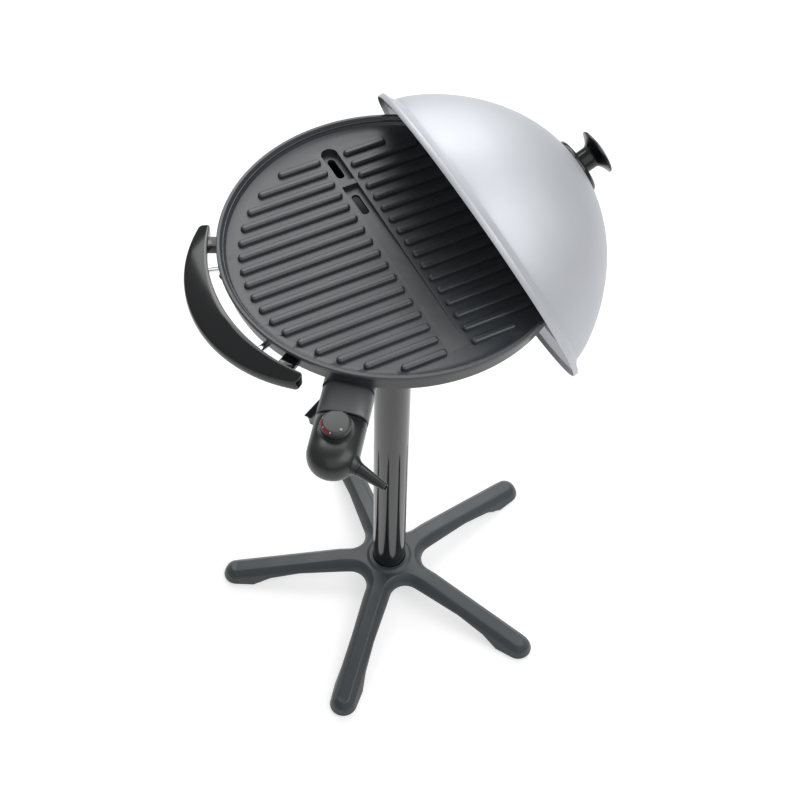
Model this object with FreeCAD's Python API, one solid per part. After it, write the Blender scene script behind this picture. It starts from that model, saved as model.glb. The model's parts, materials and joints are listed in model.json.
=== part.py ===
import FreeCAD, Part
import math
import os

# Stand grill with a ribbed round plate, a plug-in thermostat and a loose dome lid.
# Millimetres, +Z up. The origin is on the floor, on the column's axis.
# +X points along the line of the two handles, towards the side where the lid is parked.
# A size named DROP is a depth below the plate's rim.

Vec = FreeCAD.Vector
TINY = 0.01

# Floor base
LEG_COUNT = 5
LEG_TURN = 9.6
LEG_CAP_R = 238.0
LEG_BOTTOM_W = 41.6
LEG_SHOULDER_W = 33.0
LEG_TOP_W = 17.0
LEG_CHAMFER_H = 8.0
LEG_HUB_R = 76.0
LEG_HUB_TOP = 51.0
LEG_HUB_H = 18.0
LEG_ARCH_R = 140.0
LEG_ARCH_H = 13.0
LEG_HEEL_R = 185.0
LEG_HEEL_H = 16.0
LEG_FOOT_R = 212.0
LEG_END_TOP = 23.0
WEB_R = 24.0
PAD_H = 3.0
PAD_EDGE = 3.5
PAD_LENGTH = 30.0
HUB_RING_W = 9.5
HUB_RING_H = 3.0
HUB_FLOOR = 4.0

# Column
RIM_Z = 770.0
COLUMN_R = 24.5
COLUMN_WALL = 1.5
COLUMN_FIT = 0.05
CAP_FLANGE = 4.0
CAP_PLUG = 20.0
INSERT_H = 14.0
BOLT_R = 4.0
BOLT_HEAD_R = 6.5
BOLT_HEAD_H = 5.0
BOLT_LENGTH = 18.0
WASHER_R = 12.0
WASHER_H = 1.6

# Grill plate
PLATE_R = 208.0
LIP_W = 4.0
LIP_H = 4.0
LIP_SOFT = 1.0
WALL_W = 11.0
WALL_DROP = 9.0
FLOOR_EDGE_W = 22.0
FLOOR_DROP = 14.0
FLOOR_T = 6.0
PATTERN_X = -5.5
PATTERN_Y = -3.4
PATTERN_TURN = -1.4
RIB_PITCH = 20.6
RIB_W = 9.5
RIB_H = 5.0
RIB_ROUND = 3.4
RIB_EDGE = 6.0
RIB_GAP = 31.0
CHANNEL_W = 21.0
CHANNEL_NEAR_EDGE = 22.0
CHANNEL_FAR_EDGE = 3.0
CHANNEL_DEPTH = 9.0
CHANNEL_WALL = 4.0
SLOT_W = 10.0
SLOT_LENGTH = 36.0
SLOT_EDGE = 10.6
SLOT_PITCH = 68.5
BRIDGE_W = 8.0
BRIDGE_DROP = 1.0
FLOOR_R = PLATE_R - FLOOR_EDGE_W
RIB_END_R = FLOOR_R - RIB_EDGE
PLATE_UNDER = FLOOR_DROP + FLOOR_T
CHANNEL_NEAR_Y = CHANNEL_NEAR_EDGE - FLOOR_R
CHANNEL_FAR_Y = FLOOR_R - CHANNEL_FAR_EDGE
SLOT_FAR_Y = CHANNEL_FAR_Y - SLOT_EDGE - SLOT_LENGTH / 2
SLOT_NEAR_Y = SLOT_FAR_Y - SLOT_PITCH
BRIDGE_Y = (SLOT_FAR_Y + SLOT_NEAR_Y) / 2

# Base pan
SKIRT_INSET = 1.7
SKIRT_TAPER = 3.8
SKIRT_DROP = 25.0
PAN_SLOPE_W = 30.5
PAN_DROP = 42.0
PAN_WALL = 2.5
BOSS_R = 5.0
BOSS_GAP = 1.25
BOSS_TURNS = (0.0, 60.0, 120.0, 180.0, 285.0)
REFLECTOR_GAP = 2.5
REFLECTOR_T = 0.8
REFLECTOR_DROP = 34.0
REFLECTOR_EDGE = 4.0
LEDGE_W = 3.0
CHUTE_WALL = 2.0
CHUTE_ROOM = 4.0
SCREW_R = 2.0
SCREW_HEAD_R = 3.8
SCREW_HEAD_H = 2.4
SCREW_BITE = 10.0
SCREW_SEAT_GAP = 0.25
SKIRT_TOP_R = PLATE_R - SKIRT_INSET
SKIRT_BOTTOM_R = SKIRT_TOP_R - SKIRT_TAPER
PAN_FLAT_R = SKIRT_BOTTOM_R - PAN_SLOPE_W
BOSS_CIRCLE_R = PAN_FLAT_R - PAN_WALL / 2 - BOSS_GAP - BOSS_R
REFLECTOR_R = BOSS_CIRCLE_R - BOSS_R - REFLECTOR_GAP

# Heating element and its terminals, which lie in the thermostat's direction
THERMO_TURN = 231.5
THERMO_SIDE = -16.7
PLUG_DROP = 53.0
TUBE_R = 4.0
ELEMENT_EDGE = 7.0
ELEMENT_BEND_R = 30.0
ELEMENT_TURN_BACK = 32.0
CLIP_COUNT = 4
CLIP_FROM = 180.0
CLIP_SPAN = 180.0
CLIP_WALL = 1.2
CLIP_W = 12.0
CLIP_EAR = 7.0
TERMINAL_GAP = 6.0
TERMINAL_REACH = 6.0
TERMINAL_HALF_W = 20.5
TERMINAL_DROP = 62.0
TERMINAL_ROOM = 1.5
PIN_R = 2.4
PIN_SPREAD = 11.5
PIN_ROOT = 20.0
PIN_OUT = 36.0
ELEMENT_OUT_R = REFLECTOR_R - ELEMENT_EDGE
ELEMENT_IN_R = ELEMENT_OUT_R - 2 * ELEMENT_BEND_R
TERMINAL_IN_S = ELEMENT_IN_R + TUBE_R + TERMINAL_GAP
TERMINAL_OUT_S = PAN_FLAT_R + TERMINAL_REACH

# Table stand under the pan
STAND_HUB_WALL = 9.5
STAND_FLANGE_W = 26.0
STAND_FLANGE_T = 5.0
STAND_CEILING = 11.0
STAND_DROP = 130.0
STAND_TURN = 34.4
SOCKET_GAP = 0.3
ARM_W = 10.0
ARM_REACH = 7.0
ARM_TIP_DROP = 95.0
ARM_ROOT_DROP = 106.0
ARM_RISE_L = 40.0
ARM_RISE = 12.0
ARM_UNDERCUT = 13.0
ARM_FOOT_L = 30.0
ARM_ROOT_LIFT = 7.0
ARM_ARCH = 7.0
ARM_TIP_BOW = 3.0
ARM_ROUND = 2.5
TABLE_PAD_H = 2.5
TABLE_PAD_INSET = 1.5
STAND_HUB_R = COLUMN_R + STAND_HUB_WALL
STAND_FLANGE_R = STAND_HUB_R + STAND_FLANGE_W
ARM_TIP_R = PLATE_R + ARM_REACH
ARM_FOOT_R = ARM_TIP_R - ARM_UNDERCUT

# Handles
HANDLE_GAP = 11.0
HANDLE_MID_W = 34.5
HANDLE_END_W = 13.0
HANDLE_HALF_TURN = 34.6
HANDLE_TOP_DROP = 8.0
HANDLE_H = 17.0
HANDLE_ROUND = 3.0
HANDLE_RIM_ROUND = 1.5
LUG_TURN = 28.0
LUG_W = 18.0
LUG_H = 11.0
LUG_BITE = 6.0
STUB_TURN = 18.0
STUB_R = 4.0
STUB_BITE = 3.0
HANDLE_IN_R = PLATE_R + HANDLE_GAP
HANDLE_OUT_R = HANDLE_IN_R + HANDLE_MID_W
HANDLE_END_R = HANDLE_IN_R + HANDLE_END_W

# Socket shroud
SHROUD_REACH = 24.0
SHROUD_L = 92.0
SHROUD_HALF_W = 29.5
SHROUD_TOP_DROP = 31.0
SHROUD_BOTTOM_DROP = 74.0
SHROUD_WALL = 2.6
SHROUD_TOP_ROUND = 15.0
SHROUD_BOTTOM_ROUND = 23.0
EAR_W = 12.0
EAR_L = 14.0
EAR_T = 3.0
SHROUD_OUT_S = PLATE_R + SHROUD_REACH
SHROUD_IN_S = SHROUD_OUT_S - SHROUD_L

# Thermostat
SEAM_GAP = 0.8
CASE_L = 76.5
CASE_WALL = 2.4
NOSE_L = 44.0
NOSE_INSIDE = 8.0
NOSE_HALF_W = 21.0
NOSE_HALF_H = 10.0
CONTACT_GAP = 0.4
CONTACT_WALL = 1.2
CONTACT_TAIL = 10.0
ROD_R = 3.0
ROD_REACH = 104.0
SWITCH_OVERLAP = 2.0
SWITCH_L = 34.0
SWITCH_HALF_W = 14.0
SWITCH_TOP_GAP = 6.0
POST_R = 5.5
POST_RECESS = 10.0
POST_FRONT = 13.0
POST_SIDE_EDGE = 8.0
POST_END_EDGE = 16.0
DIAL_BACK = 25.7
DIAL_SIDE = -0.6
DIAL_R = 17.0
DIAL_H = 9.5
DIAL_GAP = 0.6
DIAL_ROUND = 1.2
DIAL_RING_W = 2.5
DIAL_RING_H = 1.4
DIAL_RING_HOLE_R = 6.0
SPINDLE_R = 3.0
SPINDLE_FIT = 0.06
SPINDLE_IN_DIAL = 6.0
NOZZLE_BACK = 53.0
NOZZLE_SIDE = 17.9
NOZZLE_TURN = 61.5
NOZZLE_L = 16.0
NOZZLE_WALL = 3.6
CORD_SLEEVE_L = 36.0
CORD_SLEEVE_R = 7.4
CORD_SLEEVE_END_R = 4.2
CORD_SLEEVE_ROOT_R = 5.0
CORD_SLEEVE_ROOT_L = 8.0
CORD_R = 3.1
CORD_HOLE = 10.0
CASE_S = SHROUD_OUT_S + SEAM_GAP
CASE_MID_Z = -(SHROUD_TOP_DROP + SHROUD_BOTTOM_DROP) / 2
DIAL_S = CASE_S + DIAL_BACK

# Drip tray
TRAY_SCREW_GAP = 9.2
TRAY_HUB_GAP = 8.0
TRAY_EDGE = 22.0
TRAY_TOP_DROP = 52.0
TRAY_H = 32.0
TRAY_WALL = 1.6
TRAY_ROUND = 8.0
TRAY_BOTTOM_ROUND = 4.0
TRAY_FLANGE = 4.0
TRAY_FLANGE_T = 1.6
TRAY_GRIP = 14.0
TRAY_GRIP_H = 8.0
TRAY_GRIP_HALF_W = 27.0
RAIL_GAP = 0.3
RAIL_WALL = 2.0
RAIL_LIP = 4.0
RAIL_FOOT = 9.0
RAIL_FRONT_GAP = 28.0
RAIL_OUT = BOSS_CIRCLE_R * math.cos(math.radians(BOSS_TURNS[1])) - SCREW_HEAD_R - TRAY_SCREW_GAP
RAIL_IN = RAIL_OUT - RAIL_FOOT - RAIL_WALL
TRAY_HALF_W = RAIL_IN - RAIL_GAP - TRAY_FLANGE
TRAY_IN_Y = STAND_HUB_R + TRAY_HUB_GAP
TRAY_OUT_Y = PLATE_R - TRAY_EDGE

# Lid and its knob
LID_INSET = 1.9
LID_T = 1.2
LID_LIP_W = 5.0
LID_LIP_H = 7.0
LID_FLANGE_W = 14.8
LID_BASE_H = 14.9
LID_H = 152.0
DOME_CROWN_POWER = 2.07
DOME_SHOULDER_POWER = 1.28
DOME_STATIONS = (0.1, 0.3, 0.5, 0.7, 0.85, 0.95)
LID_TILT = 23.0
LID_DROP = 57.3
LID_RIM_GAP = 0.9
LID_REST_GAP = 0.6
EDGE_STEPS = 8
SHIELD_R = 36.5
SHIELD_T = 4.0
KNOB_STEM_R = 14.0
KNOB_R = 29.0
KNOB_STEM_H = 14.0
KNOB_FLARE_H = 8.5
KNOB_FLARE_BOW_IN = 2.1
KNOB_FLARE_BOW_DROP = 2.8
KNOB_BRIM_H = 3.0
KNOB_CROWN_H = 5.5
KNOB_SCREW_R = 2.5
KNOB_SCREW_BITE = 14.0
KNOB_SCREW_HEAD_R = 5.0
KNOB_SCREW_HEAD_H = 2.5
KNOB_WASHER_R = 9.0
KNOB_WASHER_T = 1.5
LID_R = PLATE_R - LID_INSET
LID_BASE_R = LID_R - LID_FLANGE_W


def box(x0, x1, y0, y1, z0, z1):
    return Part.makeBox(x1 - x0, y1 - y0, z1 - z0, Vec(x0, y0, z0))


def rod(radius, start, end):
    way = end - start
    return Part.makeCylinder(radius, way.Length, start, way)


def tube(outer, inner, start, end):
    return rod(outer, start, end).cut(rod(inner, start, end))


def turned(shape, degrees):
    copy = shape.copy()
    copy.rotate(Vec(0, 0, 0), Vec(0, 0, 1), degrees)
    return copy


def lifted(shape):
    copy = shape.copy()
    copy.translate(Vec(0, 0, RIM_Z))
    return copy


def spun(edges):
    face = Part.Face(Part.Wire(edges))
    return face.revolve(Vec(0, 0, 0), Vec(0, 0, 1), 360)


def line(a, b):
    return Part.LineSegment(a, b).toShape()


def profile(points):
    corners = [Vec(r, 0, z) for r, z in points]
    return [line(a, b) for a, b in zip(corners, corners[1:] + corners[:1])]


def slab(points, z0, z1):
    wire = Part.makePolygon([Vec(x, y, z0) for x, y in points + points[:1]])
    return Part.Face(wire).extrude(Vec(0, 0, z1 - z0))


def stadium(length, width, height):
    half = width / 2
    ends = [Part.makeCylinder(half, height, Vec(x, 0, 0)) for x in (half, length - half)]
    return box(half, length - half, -half, half, 0, height).fuse(ends).removeSplitter()


def on_ring(radius, degrees, z):
    angle = math.radians(degrees)
    return Vec(radius * math.cos(angle), radius * math.sin(angle), z)


def wood_screw(tip, head):
    way = (head - tip).normalize()
    return rod(SCREW_R, tip, head).fuse(rod(SCREW_HEAD_R, head, head + way * SCREW_HEAD_H)).removeSplitter()


def at_plug(shape):
    # From the thermostat's own directions, X outward and Y sideways, to its place on the grill.
    copy = shape.copy()
    copy.translate(Vec(0, THERMO_SIDE, 0))
    return turned(copy, THERMO_TURN)


def plug_point(s, w):
    angle = math.radians(THERMO_TURN)
    side = w + THERMO_SIDE
    return Vec(s * math.cos(angle) - side * math.sin(angle), s * math.sin(angle) + side * math.cos(angle), 0)


def save(name, shape):
    shape.exportStep("parts/%s.step" % name)
    print(name, len(shape.Solids), "solids, volume", round(shape.Volume))


# Floor base

HUB_LOW = LEG_HUB_TOP - LEG_HUB_H
COLUMN_LOW = HUB_LOW + HUB_FLOOR
LEG_FLARE = (LEG_BOTTOM_W - LEG_SHOULDER_W) / 2 / (LEG_END_TOP - LEG_CHAMFER_H - PAD_H)


def leg_top(r):
    share = max(0.0, (r - LEG_HUB_R) / (LEG_CAP_R - LEG_HUB_R))
    return LEG_HUB_TOP + (LEG_END_TOP - LEG_HUB_TOP) * share


def leg_stations():
    return [(0.0, HUB_LOW), (LEG_HUB_R, HUB_LOW), (LEG_ARCH_R, leg_top(LEG_ARCH_R) - LEG_ARCH_H),
            (LEG_HEEL_R, leg_top(LEG_HEEL_R) - LEG_HEEL_H), (LEG_FOOT_R, PAD_H), (LEG_CAP_R, PAD_H)]


def leg_half(low, top):
    shoulder = top - LEG_CHAMFER_H
    low_w = LEG_SHOULDER_W / 2 + LEG_FLARE * (shoulder - low)
    return [(low_w, low), (LEG_SHOULDER_W / 2, shoulder), (LEG_TOP_W / 2, top)]


def leg_section(r, low):
    right = leg_half(low, leg_top(r))
    left = [(-w, z) for w, z in reversed(right)]
    return Part.makePolygon([Vec(r, w, z) for w, z in right + left + right[:1]])


def leg_cap():
    cap = spun(profile([(0, PAD_H)] + leg_half(PAD_H, LEG_END_TOP) + [(0, LEG_END_TOP)]))
    cap.translate(Vec(LEG_CAP_R, 0, 0))
    return cap


def leg_web():
    # The hollow corner between two legs: their section, swept round an upright axis in the gap.
    half_gap = math.pi / LEG_COUNT
    half = leg_half(HUB_LOW, LEG_HUB_TOP)
    low_w = half[0][0]
    reach = (low_w + WEB_R) / math.sin(half_gap)
    inner = [(WEB_R + low_w - w, z) for w, z in half]
    ring = spun(profile(inner + [(reach, LEG_HUB_TOP), (reach, HUB_LOW)]))
    ring.translate(Vec(reach, 0, 0))
    along = reach * math.cos(half_gap)
    touch = (along * math.cos(half_gap), along * math.sin(half_gap))
    wedge = slab([(0, 0), (touch[0], -touch[1]), (reach, 0), touch], 0, LEG_HUB_TOP)
    return turned(ring.common(wedge), LEG_TURN + math.degrees(half_gap))


def make_star_base():
    sections = [leg_section(r, low) for r, low in leg_stations()]
    spans = [Part.makeLoft(list(pair), True, True) for pair in zip(sections, sections[1:])]
    leg = leg_cap().fuse(spans)
    step = 360.0 / LEG_COUNT
    legs = [turned(leg, LEG_TURN + step * i) for i in range(LEG_COUNT)]
    web = leg_web()
    webs = [turned(web, step * i) for i in range(LEG_COUNT)]
    ring_top = LEG_HUB_TOP + HUB_RING_H
    ring_r = COLUMN_R + HUB_RING_W
    ring = spun(profile([(0, HUB_LOW), (ring_r, HUB_LOW), (ring_r, LEG_HUB_TOP),
                         (ring_r - HUB_RING_H, ring_top), (0, ring_top)]))
    star = ring.fuse(legs + webs).removeSplitter()
    socket = rod(COLUMN_R + COLUMN_FIT, Vec(0, 0, COLUMN_LOW), Vec(0, 0, ring_top))
    bolt_hole = rod(BOLT_R + COLUMN_FIT, Vec(0, 0, 0), Vec(0, 0, ring_top))
    return star.cut(socket).cut(bolt_hole)


def make_foot_pads():
    width = LEG_BOTTOM_W - 2 * PAD_EDGE
    pad = stadium(PAD_LENGTH + width, width, PAD_H)
    pad.translate(Vec(LEG_CAP_R + width / 2 - PAD_LENGTH - width, 0, 0))
    step = 360.0 / LEG_COUNT
    return Part.makeCompound([turned(pad, LEG_TURN + step * i) for i in range(LEG_COUNT)])


# Column and its fittings

CAP_TOP = RIM_Z - PAN_DROP - STAND_CEILING
COLUMN_TOP = CAP_TOP - CAP_FLANGE
COLUMN_BORE = COLUMN_R - COLUMN_WALL


def make_column_tube():
    return tube(COLUMN_R, COLUMN_BORE, Vec(0, 0, COLUMN_LOW), Vec(0, 0, COLUMN_TOP))


def make_column_cap():
    plug = rod(COLUMN_BORE, Vec(0, 0, COLUMN_TOP - CAP_PLUG), Vec(0, 0, COLUMN_TOP))
    return plug.fuse(rod(COLUMN_R, Vec(0, 0, COLUMN_TOP), Vec(0, 0, CAP_TOP))).removeSplitter()


def make_column_insert():
    return tube(COLUMN_BORE, BOLT_R, Vec(0, 0, COLUMN_LOW), Vec(0, 0, COLUMN_LOW + INSERT_H))


def make_hub_washer():
    return tube(WASHER_R, BOLT_R, Vec(0, 0, HUB_LOW - WASHER_H), Vec(0, 0, HUB_LOW))


def make_hub_bolt():
    seat = HUB_LOW - WASHER_H
    head = rod(BOLT_HEAD_R, Vec(0, 0, seat - BOLT_HEAD_H), Vec(0, 0, seat))
    return head.fuse(rod(BOLT_R, Vec(0, 0, seat), Vec(0, 0, seat + BOLT_LENGTH))).removeSplitter()


# Grill plate

def on_pattern(shape):
    # The ribs, channel and slots lie a little off the plate's centre, and turned.
    copy = turned(shape, PATTERN_TURN)
    copy.translate(Vec(PATTERN_X, PATTERN_Y, 0))
    return copy


def rib_places():
    side_count = int((RIB_END_R - RIB_W) / RIB_PITCH)
    return [i * RIB_PITCH for i in range(-side_count, side_count + 1)]


def make_rib(y):
    end = math.sqrt(RIB_END_R ** 2 - y ** 2)
    height = RIB_H + FLOOR_T / 2
    rib = stadium(end - RIB_GAP / 2, RIB_W, height)
    top = [e for e in rib.Edges if e.BoundBox.ZMin > height - TINY]
    rib = rib.makeFillet(RIB_ROUND, top)
    rib.translate(Vec(RIB_GAP / 2, y, -FLOOR_DROP - FLOOR_T / 2))
    return rib


def channel_floor(y):
    share = (y - CHANNEL_NEAR_Y) / (CHANNEL_FAR_Y - CHANNEL_NEAR_Y)
    return -FLOOR_DROP - CHANNEL_DEPTH * share


def channel_prism(half_w, y0, y1, low0, low1, top):
    side = Part.makePolygon([Vec(-half_w, y, z) for y, z in
                             ((y0, low0), (y1, low1), (y1, top), (y0, top), (y0, low0))])
    return Part.Face(side).extrude(Vec(2 * half_w, 0, 0))


def channel_hollow():
    half = CHANNEL_W / 2
    last = CHANNEL_FAR_Y - half
    run = channel_prism(half, CHANNEL_NEAR_Y, last, -FLOOR_DROP, channel_floor(last), -FLOOR_DROP)
    end = rod(half, Vec(0, last, channel_floor(last)), Vec(0, last, -FLOOR_DROP))
    return run.fuse(end)


def channel_trough():
    half = CHANNEL_W / 2 + CHANNEL_WALL
    last = CHANNEL_FAR_Y - CHANNEL_W / 2
    low = channel_floor(last) - CHANNEL_WALL
    first = CHANNEL_NEAR_Y + (FLOOR_T - CHANNEL_WALL) / CHANNEL_DEPTH * (CHANNEL_FAR_Y - CHANNEL_NEAR_Y)
    run = channel_prism(half, first, last, -PLATE_UNDER, low, -PLATE_UNDER)
    return run.fuse(rod(half, Vec(0, last, low), Vec(0, last, -PLATE_UNDER)))


def channel_bridge():
    half = CHANNEL_W / 2 + CHANNEL_WALL / 2
    low = channel_floor(BRIDGE_Y) - CHANNEL_WALL / 2
    return box(-half, half, BRIDGE_Y - BRIDGE_W / 2, BRIDGE_Y + BRIDGE_W / 2, low, -FLOOR_DROP - BRIDGE_DROP)


TROUGH_DROP = -channel_floor(CHANNEL_FAR_Y - CHANNEL_W / 2) + CHANNEL_WALL


def slot_hole(y):
    hole = stadium(SLOT_LENGTH, SLOT_W, PAN_DROP)
    hole.translate(Vec(-SLOT_LENGTH / 2, 0, -PAN_DROP))
    hole.rotate(Vec(0, 0, 0), Vec(0, 0, 1), 90)
    hole.translate(Vec(0, y, 0))
    return hole


def make_grill_plate():
    lip_in = PLATE_R - LIP_W
    wall_r = PLATE_R - WALL_W
    dish = spun(profile([(0, -FLOOR_DROP), (FLOOR_R, -FLOOR_DROP), (wall_r, -WALL_DROP),
                         (lip_in - LIP_SOFT, -LIP_SOFT), (lip_in, 0), (PLATE_R - LIP_SOFT, 0),
                         (PLATE_R, -LIP_SOFT), (PLATE_R, -LIP_H), (lip_in - LIP_W, -LIP_H),
                         (wall_r, -WALL_DROP - FLOOR_T), (FLOOR_R, -PLATE_UNDER), (0, -PLATE_UNDER)]))
    ribs = []
    for y in rib_places():
        rib = make_rib(y)
        ribs += [rib, rib.mirror(Vec(0, 0, 0), Vec(1, 0, 0))]
    pan_floor = -PAN_DROP + PAN_WALL
    middle = -FLOOR_DROP - FLOOR_T / 2
    bosses = [rod(BOSS_R, on_ring(BOSS_CIRCLE_R, a, pan_floor), on_ring(BOSS_CIRCLE_R, a, middle))
              for a in BOSS_TURNS]
    terminal = box(TERMINAL_IN_S, TERMINAL_OUT_S, -TERMINAL_HALF_W, TERMINAL_HALF_W,
                   -TERMINAL_DROP, middle)
    holes = [rod(PIN_R, Vec(TERMINAL_OUT_S - PIN_ROOT, w, -PLUG_DROP), Vec(TERMINAL_OUT_S, w, -PLUG_DROP))
             for w in (-PIN_SPREAD, PIN_SPREAD)]
    holes.append(rod(ROD_R + CONTACT_GAP, Vec(SHROUD_OUT_S - ROD_REACH - CONTACT_GAP, 0, -PLUG_DROP),
                     Vec(TERMINAL_OUT_S, 0, -PLUG_DROP)))
    terminal = at_plug(terminal.cut(holes))
    plate = dish.fuse([on_pattern(rib) for rib in ribs] + bosses + [terminal, on_pattern(channel_trough())])
    plate = plate.cut(on_pattern(channel_hollow())).fuse(on_pattern(channel_bridge()))
    plate = plate.cut([on_pattern(slot_hole(y)) for y in (SLOT_NEAR_Y, SLOT_FAR_Y)])
    plate = plate.cut([rod(SCREW_R, on_ring(BOSS_CIRCLE_R, a, pan_floor),
                           on_ring(BOSS_CIRCLE_R, a, pan_floor + SCREW_BITE)) for a in BOSS_TURNS])
    return lifted(plate.removeSplitter())


# Heating element under the plate

def arc_edge(radius, a0, a1, z, centre=None):
    centre = centre or Vec(0, 0, 0)
    points = [centre + on_ring(radius, a, z) for a in (a0, (a0 + a1) / 2, a1)]
    return Part.Arc(*points).toShape()


ELEMENT_Z = -PLATE_UNDER - TUBE_R


def make_heating_element():
    left_end = THERMO_TURN + math.degrees(math.asin((THERMO_SIDE - TERMINAL_HALF_W) / ELEMENT_OUT_R))
    right_end = THERMO_TURN + math.degrees(math.asin((THERMO_SIDE + TERMINAL_HALF_W) / ELEMENT_OUT_R))
    left_turn = 90.0 + ELEMENT_TURN_BACK
    right_turn = 450.0 - ELEMENT_TURN_BACK
    middle_r = ELEMENT_IN_R + ELEMENT_BEND_R
    left_centre = on_ring(middle_r, left_turn, 0)
    right_centre = on_ring(middle_r, right_turn, 0)
    path = Part.Wire([
        arc_edge(ELEMENT_OUT_R, left_end, left_turn, ELEMENT_Z),
        arc_edge(ELEMENT_BEND_R, left_turn, left_turn - 180, ELEMENT_Z, left_centre),
        arc_edge(ELEMENT_IN_R, left_turn, right_turn, ELEMENT_Z),
        arc_edge(ELEMENT_BEND_R, right_turn + 180, right_turn, ELEMENT_Z, right_centre),
        arc_edge(ELEMENT_OUT_R, right_turn, right_end, ELEMENT_Z)])
    start = on_ring(ELEMENT_OUT_R, left_end, ELEMENT_Z)
    section = Part.Wire(Part.makeCircle(TUBE_R, start, on_ring(1, left_end + 90, 0)))
    element = path.makePipeShell([section], True, False)
    block = at_plug(box(TERMINAL_IN_S, TERMINAL_OUT_S, -TERMINAL_HALF_W, TERMINAL_HALF_W, -TERMINAL_DROP, 0))
    return lifted(element.cut(block))


def make_element_clips():
    top = -PLATE_UNDER
    outer = TUBE_R + CLIP_WALL
    near = ELEMENT_IN_R - outer
    far = ELEMENT_IN_R + outer
    half = CLIP_W / 2
    clips = []
    for i in range(CLIP_COUNT):
        angle = CLIP_FROM + (i + 0.5) * CLIP_SPAN / CLIP_COUNT
        arch = Part.makeCylinder(outer, CLIP_W, Vec(ELEMENT_IN_R, -half, ELEMENT_Z), Vec(0, 1, 0))
        below = box(near, far, -half, half, ELEMENT_Z - outer, ELEMENT_Z)
        sides = box(near, far, -half, half, ELEMENT_Z, top)
        arch = arch.common(below).fuse(sides)
        ears = box(near - CLIP_EAR, far + CLIP_EAR, -half, half, top - CLIP_WALL, top)
        bore = spun_ring(ELEMENT_IN_R, TUBE_R, ELEMENT_Z, top)
        clips.append(turned(arch.fuse(ears).removeSplitter().cut(bore), angle))
    return lifted(Part.makeCompound(clips))


def spun_ring(ring_r, radius, z, top):
    ring = Part.makeTorus(ring_r, radius, Vec(0, 0, z))
    wall = Part.makeCylinder(ring_r + radius, top - z, Vec(0, 0, z))
    return ring.fuse(wall.cut(Part.makeCylinder(ring_r - radius, top - z, Vec(0, 0, z))))


def make_terminal_pins():
    root = TERMINAL_OUT_S - PIN_ROOT
    tip = TERMINAL_OUT_S + PIN_OUT
    pins = [rod(PIN_R, Vec(root, w, -PLUG_DROP), Vec(tip, w, -PLUG_DROP)) for w in (-PIN_SPREAD, PIN_SPREAD)]
    return lifted(at_plug(Part.makeCompound(pins)))


# Base pan, reflector and screws

CHUTE_HALF_W = CHANNEL_W / 2 + CHANNEL_WALL + CHUTE_ROOM
CHUTE_Y0 = PATTERN_Y + SLOT_NEAR_Y - SLOT_LENGTH / 2 - CHUTE_ROOM
CHUTE_Y1 = PATTERN_Y + SLOT_FAR_Y + SLOT_LENGTH / 2 + CHUTE_ROOM


def pan_body(inner):
    points = [(0, -PAN_DROP), (PAN_FLAT_R, -PAN_DROP), (SKIRT_BOTTOM_R, -SKIRT_DROP), (SKIRT_TOP_R, -LIP_H)]
    if inner:
        points += [(SKIRT_TOP_R - PAN_WALL, -LIP_H), (SKIRT_BOTTOM_R - PAN_WALL, -SKIRT_DROP + PAN_WALL / 2),
                   (PAN_FLAT_R - PAN_WALL / 2, -PAN_DROP + PAN_WALL), (0, -PAN_DROP + PAN_WALL)]
    else:
        points.append((0, -LIP_H))
    return spun(profile(points))


def terminal_opening():
    reach = TERMINAL_OUT_S + TERMINAL_ROOM
    half = TERMINAL_HALF_W + TERMINAL_ROOM
    return at_plug(box(TERMINAL_IN_S - TERMINAL_ROOM, reach, -half, half, -TERMINAL_DROP, -PLATE_UNDER))


def make_base_pan():
    ledge_low = -PAN_DROP + PAN_WALL / 2
    ledge_top = -REFLECTOR_DROP - REFLECTOR_T
    ledge_r = REFLECTOR_R - REFLECTOR_EDGE
    ledge = tube(ledge_r, ledge_r - LEDGE_W, Vec(0, 0, ledge_low), Vec(0, 0, ledge_top))
    chute_out = box(-CHUTE_HALF_W - CHUTE_WALL, CHUTE_HALF_W + CHUTE_WALL, CHUTE_Y0 - CHUTE_WALL,
                    CHUTE_Y1 + CHUTE_WALL, ledge_low, -TROUGH_DROP)
    chute_in = box(-CHUTE_HALF_W, CHUTE_HALF_W, CHUTE_Y0, CHUTE_Y1, -PAN_DROP, -PLATE_UNDER)
    pan = pan_body(True).fuse([ledge, chute_out.common(pan_body(False))])
    pan = pan.cut([chute_in, terminal_opening()])
    holes = [rod(SCREW_R, p - Vec(0, 0, PAN_DROP), p) for p in pan_screw_points()]
    for point, way in handle_screw_lines():
        holes.append(rod(SCREW_R, point - way * SCREW_BITE, point + way * SCREW_BITE))
    return lifted(pan.cut(holes).removeSplitter())


def pan_screw_points():
    flat = [on_ring(BOSS_CIRCLE_R, a, 0) for a in BOSS_TURNS]
    flat += stand_screw_points() + ear_screw_points() + rail_screw_points()
    return flat


def make_heat_reflector():
    sheet = rod(REFLECTOR_R, Vec(0, 0, -REFLECTOR_DROP - REFLECTOR_T), Vec(0, 0, -REFLECTOR_DROP))
    margin = CHUTE_WALL + CHUTE_ROOM / 2
    chute = box(-CHUTE_HALF_W - margin, CHUTE_HALF_W + margin, CHUTE_Y0 - margin, PLATE_R, -PAN_DROP, 0)
    return lifted(sheet.cut([chute, terminal_opening()]))


def make_pan_screws():
    tip = -PAN_DROP + PAN_WALL + SCREW_BITE
    screws = [wood_screw(on_ring(BOSS_CIRCLE_R, a, tip), on_ring(BOSS_CIRCLE_R, a, -PAN_DROP))
              for a in BOSS_TURNS]
    return lifted(Part.makeCompound(screws))


# Table stand

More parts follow.
